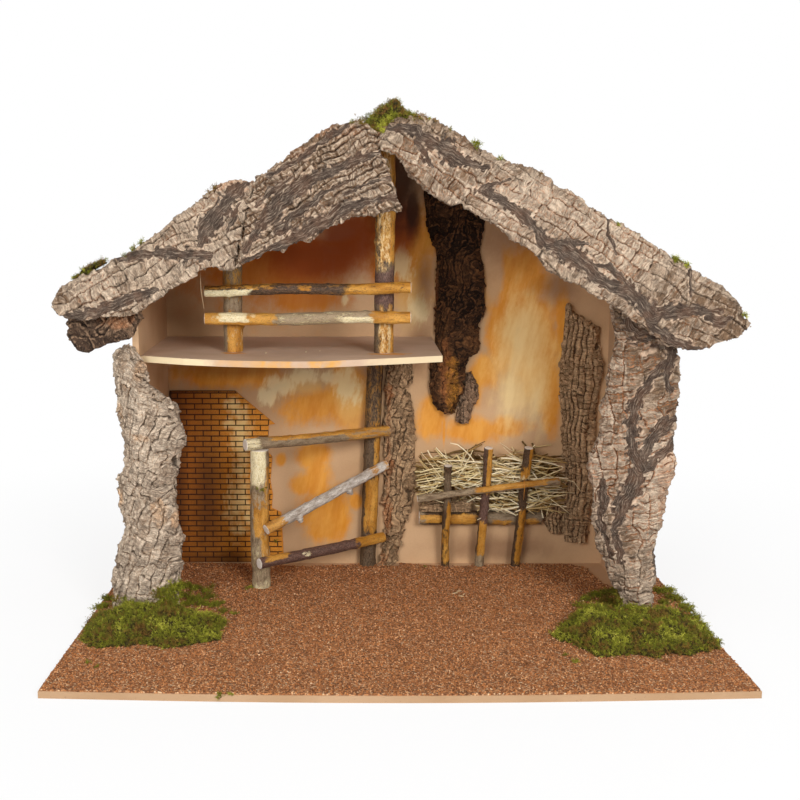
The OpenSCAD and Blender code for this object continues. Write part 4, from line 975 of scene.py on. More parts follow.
# Each twig: how far it bends in mm, its knots as share along it, side and height in mm, then where its paint
# and bark lie, as layer, start, end and cover, and then from which side to which. Shares run from the foot of a
# post and from the left end of a rail, and sides from -1 at the left or below to 1 at the right or above.
TWIGS = {
    "loft_post_left": (
        0.5, ((0.2, 1, 1.6),), ("grey", 0, 1, 0.7), ("ochre", 0, 0.3, 0.9, -0.55, 1), ("ochre", 0.4, 0.62, 0.5),
        ("ochre", 0.66, 1, 0.35, -0.2, 1), ("cream", 0.06, 0.2, 0.35),
    ),
    "loft_post_right": (
        0.9, ((0.5, -1, 1.0),), ("grey", 0, 1, 0.5), ("ochre", 0, 0.22, 0.75, -0.5, 1),
        ("cream", 0, 0.22, 0.46, -0.6, 0.8), ("red", 0.22, 0.37, 1), ("cream", 0.37, 1, 0.47, -0.8, 0.6),
        ("ochre", 0.39, 1, 0.74, -0.6, 1), ("ochre", 0.37, 1, 0.45),
    ),
    "loft_rail_upper": (
        1.0, ((0.12, -1, 0.8), (0.6, 1, 0.8)), ("cream", 0, 0.24, 0.9, -1, 0.3), ("ochre", 0, 0.36, 0.55, 0, 1),
        ("red", 0.26, 0.7, 0.4), ("ochre", 0.3, 0.7, 0.22), ("ochre", 0.47, 0.51, 1, -0.3, 0.7),
        ("ochre", 0.68, 1, 0.75),
    ),
    "loft_rail_lower": (
        1.0, ((0.78, 1, 0.7),), ("grey", 0, 1, 1), ("ochre", 0, 0.35, 0.95), ("cream", 0.05, 0.24, 0.85, -0.6, 1),
        ("cream", 0.35, 0.8, 0.42), ("cream", 0.64, 0.82, 0.8, -1, 0.2), ("ochre", 0.8, 1, 0.9),
    ),
    "stall_post": (
        1.0, ((0.62, 1, 1.0),), ("grey", 0, 1, 1), ("cream", 0.75, 1, 0.95, -1, 0.75),
        ("ochre", 0.58, 0.9, 0.6, 0.5, 1), ("ochre", 0.4, 0.61, 0.95, -0.6, 1), ("ochre", 0.6, 0.7, 0.5),
        ("ochre", 0.24, 0.42, 0.85, 0.15, 1), ("cream", 0, 0.08, 0.6), ("cream", 0.1, 0.35, 0.4),
    ),
    "centre_post": (
        0.8, ((0.5, -1, 0.8),), ("grey", 0, 1, 0.4), ("ochre", 0.17, 0.42, 0.85, -0.7, 1),
        ("ochre", 0.42, 0.66, 0.65, 0.2, 1), ("ochre", 0.6, 1, 0.35),
    ),
    "stall_rail_top": (
        0.8, ((0.3, 1, 0.7),), ("grey", 0, 1, 0.75), ("cream", 0, 0.1, 0.7), ("ochre", 0.15, 1, 0.75, 0.4, 1),
        ("ochre", 0.66, 1, 0.55),
    ),
    "stall_brace": (
        0.6, ((0.25, -1, 2.4), (0.66, -1, 3.2), (0.42, 0.4, 0.8)), ("grey", 0, 1, 1), ("ochre", 0, 0.14, 0.95),
        ("ochre", 0.84, 0.92, 0.6), ("ochre", 0.94, 1, 0.6),
    ),
    "stall_rail_bottom": (
        0.8, ((0.36, 0.2, 1.5),), ("red", 0, 0.78, 0.9), ("grey", 0.36, 0.78, 0.25),
        ("ochre", 0.03, 0.22, 0.85, 0.2, 1), ("cream", 0.33, 0.39, 0.85, -0.1, 0.8), ("ochre", 0.76, 1, 0.95),
    ),
    "rack_log": (
        0.8, ((0.36, 0.9, 2.0), (0.7, -0.8, 1.2)), ("grey", 0.5, 1, 0.7), ("grey", 0, 0.06, 1),
        ("ochre", 0.02, 0.2, 0.9, -0.6, 0.6), ("ochre", 0.24, 0.47, 0.85, -0.9, 0.7),
        ("ochre", 0.58, 0.76, 0.7, -1, 0), ("ochre", 0.86, 0.98, 0.8, -1, 0.1),
    ),
    "rack_stick_left": (
        0.9, ((0.5, 1, 0.9),), ("grey", 0.55, 0.96, 0.5), ("red", 0, 1, 0.3), ("ochre", 0.36, 0.64, 0.8, -0.1, 1),
        ("ochre", 0.02, 0.4, 0.62, -0.5, 1), ("ochre", 0.02, 0.4, 0.48),
    ),
    "rack_stick_middle": (
        0.9, ((0.5, 1, 0.9),), ("red", 0.36, 0.66, 1), ("red", 0.66, 1, 0.5), ("ochre", 0.62, 1, 0.85, -0.2, 1),
        ("ochre", 0.1, 0.4, 0.9, -0.8, 1), ("grey", 0, 0.14, 0.9),
    ),
    "rack_stick_right": (
        0.9, ((0.34, 0, 0.9),), ("red", 0, 1, 0.3), ("ochre", 0.02, 0.5, 0.68, -0.6, 1), ("ochre", 0.74, 0.84, 0.85),
        ("ochre", 0.8, 1, 0.85, 0.3, 1), ("cream", 0.74, 0.77, 1),
    ),
    "rack_crossbar": (
        0.8, ((0.9, 1, 0.7),), ("grey", 0, 1, 0.85), ("ochre", 0.4, 0.9, 0.95, -0.45, 1),
        ("ochre", 0.84, 1, 0.6, 0.1, 1),
    ),
}


TWIG_VOXEL = 0.62


def between(values, low, high, soft, least, most):
    """1 from low to high with soft borders, except at the least and the most that there is."""
    rising = smooth((values - low) / soft + (1 if low == least else 0.5))
    return rising * smooth((high - values) / soft + (1 if high == most else 0.5))


def make_twig(node, number, material, slot):
    """One crooked twig with bark ridges, knots, brushed paint and sawn ends."""
    bend, knots, *plan = TWIGS[node]
    mesh = remeshed(node, TWIG_VOXEL, 3)
    points, normals = get_points(mesh)
    seed = number * 40 + 900
    middle = points.mean(axis=0)
    axis = np.linalg.svd((points - middle)[::7], full_matrices=False)[2][0]
    upright = abs(axis[2]) > 0.8
    axis = axis * np.sign(axis[2] if upright else axis[0])
    aside = np.array([-axis[2], 0, axis[0]]) * (-1 if upright else 1)
    reach = (points - middle) @ axis
    low, high = reach.min(), reach.max()
    share = (reach - low) / (high - low)
    ends = np.minimum(reach - low, high - reach)
    sawn = (1 - smooth((ends - 0.15) / 0.6)) * smooth((np.abs(normals @ axis) - 0.5) / 0.3)
    side = (points - middle - reach[:, None] * axis) @ aside
    side = side / np.percentile(np.abs(side), 98)
    around = points - (points @ axis)[:, None] * axis + axis * (reach / 3.4)[:, None]
    height = (0.28 * fractal(around / 1.7, 2, seed) + 0.45 * fractal(points / 7, 2, seed + 1)) * (1 - sawn)
    for place, turn, tall in knots:
        close = ((share - place) * (high - low) / 2.0) ** 2 + ((side - turn) / 0.55) ** 2
        height += tall * np.exp(-close) * (normals[:, 1] < 0.6)
    sway = [noise(np.stack([share * pace, share * 0, share * 0 + 4], 1), seed + 7) for pace in (2.3, 2.7)]
    swing = sway[0][:, None] * np.array([0, 0.5, 0]) + sway[1][:, None] * aside
    set_points(mesh, points + normals * height[:, None] + swing * bend * np.sin(np.pi * share)[:, None] ** 0.5)
    jitter = share + 0.03 * fractal(points / 5, 2, seed + 9)
    layers = {name: np.zeros(len(points)) for name in ("ochre", "cream", "grey", "red")}
    for layer, start, end, cover, *sides in plan:
        inside = between(jitter, start, end, 0.09, 0, 1) * cover
        if sides:
            inside = inside * between(side, *sides, 0.5, -1, 1)
        layers[layer] = np.maximum(layers[layer], inside)
    paint(mesh, sawn=sawn, around=around, **layers)
    mesh.update()
    add_piece(node + "_twig", mesh, slot, material, node)


# ---------------------------------------------------------------- bricks

# In mm: a course's height, a brick's length, how near corners share a plane, the lines of a groove's edges and floor
# from its middle, and how far the cutter stands out at the front and at the back
COURSE = 5.0
BRICK = 15.0
SAME_PLACE = 0.01
GROOVE_LINES = np.array([-0.6, -0.32, 0.32, 0.6])
CUTTER_SPARE = 3


def back_outline(node):
    """The corners, in mm, of a flat panel's outline, read off its back face."""
    mesh = cad_mesh(node)
    corners = get_points(mesh)[0]
    behind = corners[:, 1].max() - SAME_PLACE
    edges = {}
    mesh.calc_loop_triangles()
    for triangle in mesh.loop_triangles:
        ids = list(triangle.vertices)
        if all(corners[i][1] > behind for i in ids):
            for a, b in zip(ids, ids[1:] + ids[:1]):
                a, b = (tuple(np.round(corners[i], 3)) for i in (a, b))
                # An edge between two triangles isn't one of the outline
                if (b, a) in edges:
                    del edges[b, a]
                else:
                    edges[a, b] = True
    following = dict(edges.keys())
    start = here = next(iter(following))
    loop = [start]
    while following[here] != start:
        here = following[here]
        loop.append(here)
    return np.array(loop)


def prism(name, outline, front, back):
    """A closed block with an outline in the front view."""
    count = len(outline)
    mesh = bpy.data.meshes.new(name)
    places = [(x * MM, depth * MM, z * MM) for depth in (front, back) for x, _, z in outline]
    faces = [list(range(count)), list(range(2 * count - 1, count - 1, -1))]
    faces += [[(i + 1) % count, i, i + count, (i + 1) % count + count] for i in range(count)]
    mesh.from_pydata(places, [], faces)
    middle = (front + back) / 2 * MM
    if sum(face.normal.y * face.area for face in mesh.polygons if face.center.y < middle) > 0:
        mesh.flip_normals()
    return put(name, mesh)


def brick_mesh(depth):
    """The engraved panel: courses of bricks with grooves between them, cut to the panel's outline."""
    outline = back_outline("brick_panel")
    low, high = outline.min(axis=0), outline.max(axis=0)
    back = high[1]
    front = box_of("brick_panel")[0][1]
    courses = np.arange(0, math.ceil((high[2] - low[2]) / COURSE) + 1)
    rows = (courses[:, None] * COURSE + GROOVE_LINES).ravel() + low[2]
    halves = np.arange(-1, math.ceil((high[0] - low[0]) / BRICK * 2) + 2)
    columns = (halves[:, None] * BRICK / 2 + GROOVE_LINES).ravel() + low[0]
    row, column = np.meshgrid(np.arange(len(rows)), np.arange(len(columns)), indexing="ij")
    lines = len(GROOVE_LINES)
    level = np.isin(row % lines, (1, 2))
    course = (row + lines // 2) // lines
    upright = np.isin(column % lines, (1, 2)) & ((column // lines + course) % 2 == 0)
    groove = (level | upright).astype(float)
    flat = np.zeros(row.size)
    drift = 0.35 * noise(np.stack([row.ravel() / 9, flat, flat], 1), 77).reshape(row.shape)
    places = np.stack([columns[column] + drift, front + groove * depth, rows[row]], -1).reshape(-1, 3)
    sheet = grid_faces(len(rows), len(columns))
    # Closed with a flat back so that it can be cut
    behind = places.copy()
    behind[:, 1] = back
    numbers = np.arange(len(places)).reshape(row.shape)
    ring = np.concatenate([numbers[0], numbers[1:, -1], numbers[-1, -2::-1], numbers[-2:0:-1, 0]])
    after = np.roll(ring, -1)
    shift = len(places)
    sides = np.stack([ring, ring + shift, after + shift, after], 1)
    faces = np.concatenate([sheet, sheet[:, ::-1] + shift, sides])
    mesh = build_mesh("bricks", np.concatenate([places, behind]), faces)
    paint(mesh, groove=np.concatenate([groove.ravel(), flat]))
    block = put("bricks", mesh)
    cutter = prism("brick_cutter", outline, front - CUTTER_SPARE, back + CUTTER_SPARE)
    cut = block.modifiers.new("Outline", "BOOLEAN")
    cut.operation = "INTERSECT"
    cut.solver = "EXACT"
    cut.object = cutter
    return baked(block, cutter)


# Dabs of cream on the bricks and painted shade towards their left and at their foot, in pixels of the frame
CREAM_BRICKS = (
    (237, 412, 9, 12), (243, 424, 9, 14), (231, 424, 9, 8), (240, 448, 13, 9), (241, 470, 13, 11),
    (240, 503, 12, 10), (246, 516, 10, 12), (240, 530, 13, 7), (239, 502, 19, 40), (241, 442, 14, 52),
    (234, 404, 14, 9),
)
PAINTED_SHADE_BRICKS = ((208, 500, 22, 90), (225, 560, 70, 14), (176, 470, 14, 130))


def brick_finish():
    """Engraved board stained ochre brown, with burnt grooves, dabs of cream and painted shade towards its left and its
    foot.
    """
    f = Finish("engraved bricks")
    (left, front, _), (_, _, top) = box_of("brick_panel")
    across = f.along("X")
    streak = f.noise(1.0, 4, f.stretched(f.place, 160, 160, 70), rough=0.7)
    cloud = f.sway(30, 3)
    fine = f.noise(1100, 3)
    # Painted shade towards the panel's left and at its foot
    dark = (patches(f, PAINTED_SHADE_BRICKS, front) + (cloud * 0.8 + (streak - 0.5) * 0.5)).step(-0.1, 0.9)
    dab = (patches(f, CREAM_BRICKS, front) + (streak - 0.5) * 2.0 + cloud * 0.6).step(-0.05, 0.9)
    burnt_left = 1 - (across - fine * 2).step(left - 0.5, left + 2.5)
    burnt_top = (f.along("Z") + fine * 2).step(top - 1.0, top + 1.5)
    groove = (f.layer("groove") * 1.4 + (fine - 0.5) * 0.5).step(0.1, 0.6)
    tone = f.coats(
        srgb(150, 84, 20),
        ((across + cloud * 50).step(left, left + 80), srgb(212, 138, 46)),
        # Painted shade
        (dark * 0.75, srgb(70, 34, 8)),
        (fine.step(0.4, 0.7) * 0.3, srgb(96, 54, 18)),
        (dab * 0.78, srgb(238, 208, 142)),
        (groove.larger(burnt_left.larger(burnt_top)) * 0.92, srgb(46, 22, 8)),
    )
    return f.surface(tone, 0.7, f.bump(fine + streak, 0.3, 0.3))


# ---------------------------------------------------------------- ground

def cork_finish(colour):
    """Glued cork grains, each in its own tone."""
    f = Finish("cork grains")
    near = f.cells(760, "Distance")
    tone = f.ramp(f.part(f.cells(760, "Color"), "X"), (0.0, srgb(110, 70, 44)), (0.25, srgb(148, 98, 64)),
                  (0.6, colour), (0.86, srgb(212, 160, 116)), (1.0, srgb(236, 202, 160)))
    tone = f.coats(tone, (f.noise(24, 3).step(0.35, 0.7) * 0.2, srgb(140, 92, 60)),
                   (near.step(0.35, 0.75) * 0.6, srgb(84, 52, 32)))
    return f.surface(tone, 0.95, f.bump(1 - near, 0.9, 1.0))


def grain_finish(colour):
    """Loose cork grains, each in its own tone."""
    f = Finish("loose cork grains")
    fine = f.noise(2000, 3)
    tone = f.ramp(f.layer("tint"), (0.0, srgb(92, 54, 30)), (0.3, srgb(148, 94, 56)), (0.65, colour),
                  (0.88, srgb(226, 172, 122)), (1.0, srgb(244, 216, 176)))
    return f.surface(f.mix(fine * 0.3, tone, srgb(130, 86, 56)), 0.95, f.bump(fine, 0.5, 0.3))


def surface_of(nodes):
    """A tree of the frame's faces that rays can hit."""
    corners, faces = [], []
    for node in nodes:
        mesh = cad_mesh(node)
        mesh.calc_loop_triangles()
        start = len(corners)
        corners += [corner.co.copy() for corner in mesh.vertices]
        faces += [[start + i for i in triangle.vertices] for triangle in mesh.loop_triangles]
    return BVHTree.FromPolygons(corners, faces)


def seen_at(solids, across, down):
    """Where the ray through a pixel of the frame meets a tree of faces, in metres, and the normal there."""
    ray = (at_pixel(across, down, 0.0) * MM - CAMERA_PLACE).normalized()
    return solids.ray_cast(CAMERA_PLACE, ray)[:2]


ROCK = np.array([(0.5, 0, 0), (-0.25, 0.43, 0), (-0.25, -0.43, 0), (0, 0, 0.42), (0, 0, -0.42)])
ROCK_FACES = np.array([(0, 1, 3), (1, 2, 3), (2, 0, 3), (1, 0, 4), (2, 1, 4), (0, 2, 4)])


def rocks(places, sizes, random):
    """Small closed five-cornered grains, each turned its own way."""
    count = len(places)
    turned = np.linalg.qr(random.normal(size=(count, 3, 3)))[0]
    turned *= np.sign(np.linalg.det(turned))[:, None, None]
    bodies = ROCK * (1 + 0.45 * random.uniform(-1, 1, (count, len(ROCK), 1))) * sizes[:, None, None]
    points = np.einsum("nij,nkj->nki", turned, bodies) + places[:, None]
    return points.reshape(-1, 3), copies(ROCK_FACES, count, len(ROCK))


# In mm: the bare rim of the base board, the gap beside the walls, and how far past the cover's edge grains are strewn
BARE_RIM = 1.2
WALL_GAP = 1.0
STREWN_REACH = 5
# The share of grains strewn at the edge, and how much of it each mm takes away
STREWN_SHARE = 0.55
STREWN_LOSS = 0.12
# In metres: how far above the cover the rays start, and how far they look for the cover and for the board
ABOVE = 0.001
COVER_REACH = 0.004
BOARD_REACH = 0.01


def make_grains(count, width, colour):
    """Loose cork grains over the ground cover, with a few strewn past its edge."""
    random = np.random.default_rng(71)
    low, high = box_of("base_board")
    cover, board = surface_of(["ground_cover"]), surface_of(["base_board"])
    walls = surface_of(["back_wall", "side_wall_left", "side_wall_right"])
    places = []
    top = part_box("ground_cover")[1].z + ABOVE
    down = Vector((0, 0, -1))
    for x, y in random.uniform(low[:2] + BARE_RIM, high[:2] - BARE_RIM, (count, 2)):
        above = Vector((x * MM, y * MM, top))
        if walls.find_nearest(above, WALL_GAP * MM)[0] is not None:
            continue
        hit = cover.ray_cast(above, down, COVER_REACH)[0]
        if hit is None:
            edge = cover.find_nearest(above, STREWN_REACH * MM)[0]
            if edge is None or random.random() > STREWN_SHARE - (edge - above).length / MM * STREWN_LOSS:
                continue
            hit = board.ray_cast(above, down, BOARD_REACH)[0]
        if hit is not None:
            places.append(list(hit / MM))
    places = np.array(places)
    sizes = width / MM * random.uniform(0.75, 1.5, len(places))
    places[:, 2] += sizes * 0.2
    points, faces = rocks(places, sizes, random)
    mesh = build_mesh("ground_grains", points, faces)
    paint(mesh, tint=np.repeat(random.beta(2.2, 2.2, len(places)), len(ROCK)))
    add_piece("ground_grains", mesh, "cork_grains", grain_finish(colour))


# ---------------------------------------------------------------- moss

FROND_KINDS = 16
LEAVES = 9
# Rings of a frond's stem: their height and half width as shares of its length
STEM_RINGS = ((0, 0.035), (0.4, 0.03), (0.75, 0.022))
# In radians: the turn between the three corners of a ring, and from one leaf to the next
THIRD_TURN = 2.094
LEAF_TURN = 2.4


def frond_kinds(random):
    """A few fronds of moss, each a bent stem with curled leaves: corners for a length of one, and faces."""
    kinds = []
    for _ in range(FROND_KINDS):
        bow = random.uniform(-0.75, 0.75, 2)

        def stem(t, bow=bow):
            return np.array([bow[0] * t * t, bow[1] * t * t, t - 0.4 * t * t * np.hypot(*bow)])

        points = [stem(t) + wide * np.array([math.cos(k * THIRD_TURN), math.sin(k * THIRD_TURN), 0])
                  for t, wide in STEM_RINGS for k in range(3)]
        points.append(stem(1.0))
        faces = [(0, 2, 1)] + [(6 + k, 6 + (k + 1) % 3, 9) for k in range(3)]
        for ring in (0, 3):
            for k in range(3):
                a, b = ring + k, ring + (k + 1) % 3
                faces += [(a, b, b + 3), (a, b + 3, a + 3)]
        for leaf in range(LEAVES):
            t = 0.16 + 0.098 * leaf
            angle = leaf * LEAF_TURN + random.uniform(-0.5, 0.5)
            out = np.array([math.cos(angle), math.sin(angle), 0])
            side = 0.055 * np.array([-out[1], out[0], 0])
            root = stem(t)
            far = (0.42 - 0.22 * t) * random.uniform(0.7, 1.25)
            start = len(points)
            points += [root + side + out * far * 0.4, root - side + out * far * 0.4, root + np.array([0, 0, 0.02]),
                       root + out * far + np.array([0, 0, far * random.uniform(-0.2, 0.8)])]
            faces += [(start, start + 1, start + 3), (start + 1, start + 2, start + 3),
                      (start + 2, start, start + 3), (start, start + 2, start + 1)]
        kinds.append((np.array(points), np.array(faces)))
    return kinds


def spread_on(mesh, count, random, upward):
    """Places and normals spread evenly over the parts of a mesh that face upward enough, in mm."""
    mesh.calc_loop_triangles()
    ids = np.array([triangle.vertices[:] for triangle in mesh.loop_triangles])
    a, b, c = get_points(mesh)[0][ids.T]
    cross = np.cross(b - a, c - a)
    area = np.linalg.norm(cross, axis=1) + TINY
    normal = cross / area[:, None]
    weight = area * (normal[:, 2] > upward)
    chosen = random.choice(len(ids), count, p=weight / weight.sum())
    u, v = random.random((2, count, 1))
    u, v = np.where(u + v > 1, 1 - u, u), np.where(u + v > 1, 1 - v, v)
    return a[chosen] + u * (b - a)[chosen] + v * (c - a)[chosen], normal[chosen]


def plant(name, places, directions, lengths, tints, random, material, *nodes):
    """A piece of fronds of moss that grow from many places."""
    kinds = frond_kinds(random)
    aside = unit(np.cross(directions, random.normal(size=directions.shape)))
    ahead = unit(directions)
    third = np.cross(ahead, aside)
    kind = random.integers(0, len(kinds), len(places))
    all_points, all_faces, all_tints, tips, start = [], [], [], [], 0
    for k, (shape, sides) in enumerate(kinds):
        mine = kind == k
        count = mine.sum()
        turned = sum(shape[None, :, i:i + 1] * way[mine][:, None] for i, way in enumerate((aside, third, ahead)))
        all_points.append((places[mine][:, None] + turned * lengths[mine][:, None, None]).reshape(-1, 3))
        all_faces.append(copies(sides, count, len(shape)) + start)
        all_tints.append(np.repeat(tints[mine], len(shape)))
        tips.append(np.tile(shape[:, 2], count))
        start += count * len(shape)
    mesh = build_mesh(name, np.concatenate(all_points), np.concatenate(all_faces))
    paint(mesh, tint=np.concatenate(all_tints), tip=np.concatenate(tips))
    add_piece(name, mesh, "moss", material, *nodes)


def moss_finish(colour):
    """Dried moss, from brown at its foot to fresh green at its tips."""
    f = Finish("moss")
    tint = f.layer("tint") * 0.85 + f.noise(60, 3) * 0.4 - 0.12
    tone = f.ramp(tint, (0.0, srgb(84, 54, 26)), (0.2, srgb(140, 104, 44)), (0.38, srgb(104, 104, 32)),
                  (0.66, colour), (0.95, srgb(198, 194, 76)))
    return f.surface(f.mix((1 - f.layer("tip")).step(0.4, 0.9) * 0.65, tone, srgb(70, 52, 22)), 0.8)


def moss_bed_finish():
    """The dark felted bed that the fronds grow from."""
    f = Finish("moss bed")
    fine = f.noise(600, 4, rough=0.7)
    tone = f.ramp(fine, (0.3, srgb(38, 30, 12)), (0.55, srgb(62, 54, 20)), (0.75, srgb(98, 88, 34)))
    return f.surface(tone, 0.95, f.bump(fine, 1.0, 1.5))


BED_VOXEL = 1.3


def make_moss(node, number, count, length, finishes, flat):
    """A mat of moss: a lumpy bed and fronds all over it."""
    random = np.random.default_rng(300 + number)
    bed = remeshed(node, BED_VOXEL, 4)
    points, normals = get_points(bed)
    low, high = box_of(node)
    floor = low[2]
    near, second = cells(points / 13 + 0.5 * warp(points, 9, 2, 410), 430 + number)
    height = 2.4 * (0.75 - near) - 2.4 * (1 - smooth((second - near) / 0.22)) - 1.6 + 1.3 * fractal(points / 5, 2, 400)
    moved = points + normals * height[:, None] * smooth((points[:, 2:3] - floor) / 2 + 0.3)
    if flat:
        level = np.array([1, 1, 0])
        out = (points - (low + high) / 2) / (high - low) * 2 * level
        far = np.linalg.norm(out, axis=1)
        ground = points * level
        push = 6.5 * fractal(ground / 19, 2, 440 + number) + 3.0 * fractal(ground / 6, 2, 450 + number) - 1.5
        moved += out / (far[:, None] + 0.1) * (push * smooth((far - 0.35) / 0.5))[:, None]
        moved[:, 2] = floor + (moved[:, 2] - floor) * (0.75 + 0.3 * fractal(ground / 22, 2, 460 + number))
        moved[:, 2] = np.maximum(moved[:, 2], floor)
        moved[:, :2] = np.clip(moved[:, :2], low[:2] - 3, high[:2] + 3)
    set_points(bed, moved)
    bed.update()
    places, normal = spread_on(bed, count, random, -0.2)
    directions = 0.9 * normal + random.normal(size=places.shape) * 0.9 + np.array([0, 0, 0.1])
    if flat:
        directions[:, 2] = np.maximum(directions[:, 2], 0.15 * np.linalg.norm(directions[:, :2], axis=1))
    lengths = length / MM * random.uniform(0.5, 1.25, count) * (1 + 0.5 * (random.random(count) < 0.06))
    patchy = 0.9 * fractal(places / 14, 2, 500 + number) + 0.55 * fractal(places / 5, 2, 520 + number)
    tints = np.clip(0.5 + 0.5 * patchy + 0.17 * random.normal(size=count), 0, 1)
    plant(node + "_fronds", places, directions, lengths, tints, random, finishes[0], node)
    add_piece(node + "_bed", bed, "moss", finishes[1], node)


# Small tufts of moss on bark, twigs and ground: pixel of the frame, reach in mm, number of fronds, their length
# in mm, and their tint from brown, 0, to pale green, 1
TUFTS = (
    (352, 120, 1.5, 14, 2.6, 0.6), (360, 118, 3.0, 40, 2.8, 0.15), (366, 116, 3.5, 70, 3.4, 0.3),
    (373, 115, 3.5, 80, 3.6, 0.4), (379, 124, 3.5, 80, 3.6, 0.75), (374, 129, 2.5, 50, 3.2, 0.2),
    (371, 125, 2.5, 50, 3.0, 0.9), (384, 121, 3.5, 80, 3.6, 0.9), (388, 116, 3.5, 90, 4.4, 0.6),
    (396, 112, 3.5, 80, 4.4, 0.65), (404, 112, 3.5, 80, 4.2, 0.5), (411, 114, 3.5, 80, 4.0, 0.6),
    (391, 119, 2.4, 70, 3.2, 0.7), (396, 117, 2.4, 60, 3.2, 0.5), (384, 124, 2.4, 60, 3.2, 0.85),
    (400, 115, 2.0, 40, 3.2, 0.4), (388, 122, 2.0, 50, 3.0, 0.3), (418, 116, 3.5, 60, 3.6, 0.15),
    (424, 118, 2.5, 30, 3.0, 0.05), (429, 113, 1.2, 12, 2.6, 0.7), (434, 114, 0.8, 5, 5.0, 0.3),
    (477, 139, 2.2, 36, 3.8, 0.6), (473, 138, 1.5, 16, 3.0, 0.5), (500, 152, 1.8, 22, 3.2, 0.6),
    (450, 118, 0.8, 5, 4.4, 0.4), (540, 162, 1.4, 12, 3.0, 0.1), (618, 219, 1.0, 8, 3.4, 0.6),
    (675, 254, 2.4, 34, 4.2, 0.65), (686, 261, 2.4, 36, 4.0, 0.7), (680, 258, 1.6, 14, 3.2, 0.5),
    (744, 316, 1.6, 24, 3.4, 0.8), (134, 247, 2.4, 34, 3.2, 0.45), (141, 243, 2.0, 24, 3.4, 0.5),
    (124, 254, 1.6, 12, 2.8, 0.4), (215, 187, 2.4, 30, 2.6, 0.08), (208, 191, 1.8, 20, 2.4, 0.08),
    (257, 488, 1.3, 34, 1.9, 0.4), (262, 490, 1.3, 34, 1.9, 0.5), (266, 488, 1.0, 16, 1.7, 0.35),
    (258, 494, 1.4, 20, 1.6, 0.05), (275, 541, 1.4, 20, 2.6, 0.4), (250, 588, 2.2, 34, 2.8, 0.7),
    (246, 590, 1.6, 14, 2.6, 0.6), (425, 567, 2.0, 16, 2.4, 0.6), (88, 663, 2.2, 26, 2.6, 0.65),
    (97, 667, 1.8, 16, 2.4, 0.5), (566, 655, 2.2, 22, 2.6, 0.4), (576, 662, 2.6, 34, 2.8, 0.7),
    (98, 604, 4.0, 70, 3.8, 0.5), (107, 599, 4.5, 90, 4.0, 0.55), (116, 600, 4.0, 70, 3.8, 0.35),
    (126, 602, 4.0, 60, 3.6, 0.5), (157, 594, 4.0, 70, 3.8, 0.3), (166, 591, 5.0, 110, 4.2, 0.5),
    (176, 588, 5.5, 130, 4.4, 0.6), (186, 587, 5.5, 130, 4.6, 0.65), (196, 589, 5.0, 110, 4.2, 0.55),
    (182, 597, 6.0, 150, 4.2, 0.5), (196, 600, 6.0, 150, 4.2, 0.6), (209, 598, 5.0, 100, 4.0, 0.4),
    (212, 587, 2.5, 20, 3.6, 0.3), (168, 600, 6.0, 140, 4.2, 0.4), (224, 612, 4.0, 60, 3.8, 0.45),
    (234, 614, 3.0, 30, 3.4, 0.6), (578, 606, 5.0, 90, 4.0, 0.5), (586, 600, 5.5, 120, 4.2, 0.45),
    (596, 596, 5.5, 120, 4.2, 0.55), (606, 594, 5.5, 120, 4.2, 0.35), (616, 592, 5.0, 90, 4.0, 0.5),
    (606, 602, 6.0, 150, 4.2, 0.3), (620, 600, 5.0, 110, 4.0, 0.4), (660, 592, 5.0, 90, 4.4, 0.6),
    (669, 589, 5.0, 110, 4.6, 0.65), (678, 590, 5.0, 110, 4.4, 0.45), (688, 595, 5.0, 100, 4.2, 0.55),
    (672, 598, 6.0, 140, 4.2, 0.35), (174, 603, 5.0, 90, 4.0, 0.6), (188, 604, 5.0, 90, 4.0, 0.65),
    (202, 605, 5.0, 90, 4.0, 0.6), (214, 606, 5.0, 80, 3.8, 0.65), (206, 592, 4.0, 70, 3.8, 0.6),
    (220, 604, 4.0, 60, 3.6, 0.5), (160, 603, 4.0, 60, 3.8, 0.5), (104, 607, 4.5, 80, 3.8, 0.6),
    (590, 608, 5.0, 90, 4.0, 0.6), (602, 608, 5.0, 90, 4.0, 0.5), (615, 607, 4.5, 80, 4.0, 0.55),
    (684, 604, 5.0, 100, 4.2, 0.65), (694, 603, 5.0, 100, 4.2, 0.55), (702, 608, 4.5, 80, 4.0, 0.65),
    (664, 603, 4.5, 80, 4.0, 0.45), (698, 598, 3.5, 50, 4.0, 0.7), (382, 130, 1.6, 50, 2.8, 0.95),
    (379, 127, 1.8, 50, 2.8, 0.8), (384, 132, 1.0, 24, 2.2, 0.9), (378, 131, 1.2, 24, 2.4, 0.3),
    (220, 696, 1.8, 26, 2.8, 0.55), (231, 695, 1.6, 18, 2.6, 0.8), (710, 663, 1.6, 14, 2.4, 0.02),
    (666, 662, 1.6, 12, 2.4, 0.05),
)


def make_tufts(finish):
    """Small tufts of moss where the pixels of the frame meet the stable."""
    random = np.random.default_rng(41)
    solids = surface_of([node for node in frame["nodes"] if not node.startswith("moss") and node != "hay"])
    places, directions, lengths, tints = [], [], [], []
    for across, down, reach, count, long, tint in TUFTS:
        hit = None
        while hit is None:
            hit, normal = seen_at(solids, across, down)
            down += 1
        offsets = random.normal(size=(count, 3)) * reach * 0.5
        offsets -= np.outer(offsets @ np.array(normal), normal) * 0.7
        places.append(np.array(hit) / MM + offsets)
        directions.append(0.7 * np.array(normal) + random.normal(size=(count, 3)) * 0.8 + np.array([0, 0, 0.5]))
        lengths.append(long * random.uniform(0.55, 1.25, count))
        tints.append(np.clip(tint + 0.14 * random.normal(size=count), 0, 1))
    places, directions, lengths, tints = (np.concatenate(rows) for rows in (places, directions, lengths, tints))
    directions = unit(directions)
    places[:, 2] = np.maximum(places[:, 2], 1.6)
    directions[:, 2] = np.maximum(directions[:, 2], -0.2)
    plant("moss_tufts", places, directions, lengths, tints, random, finish)


# ---------------------------------------------------------------- hay

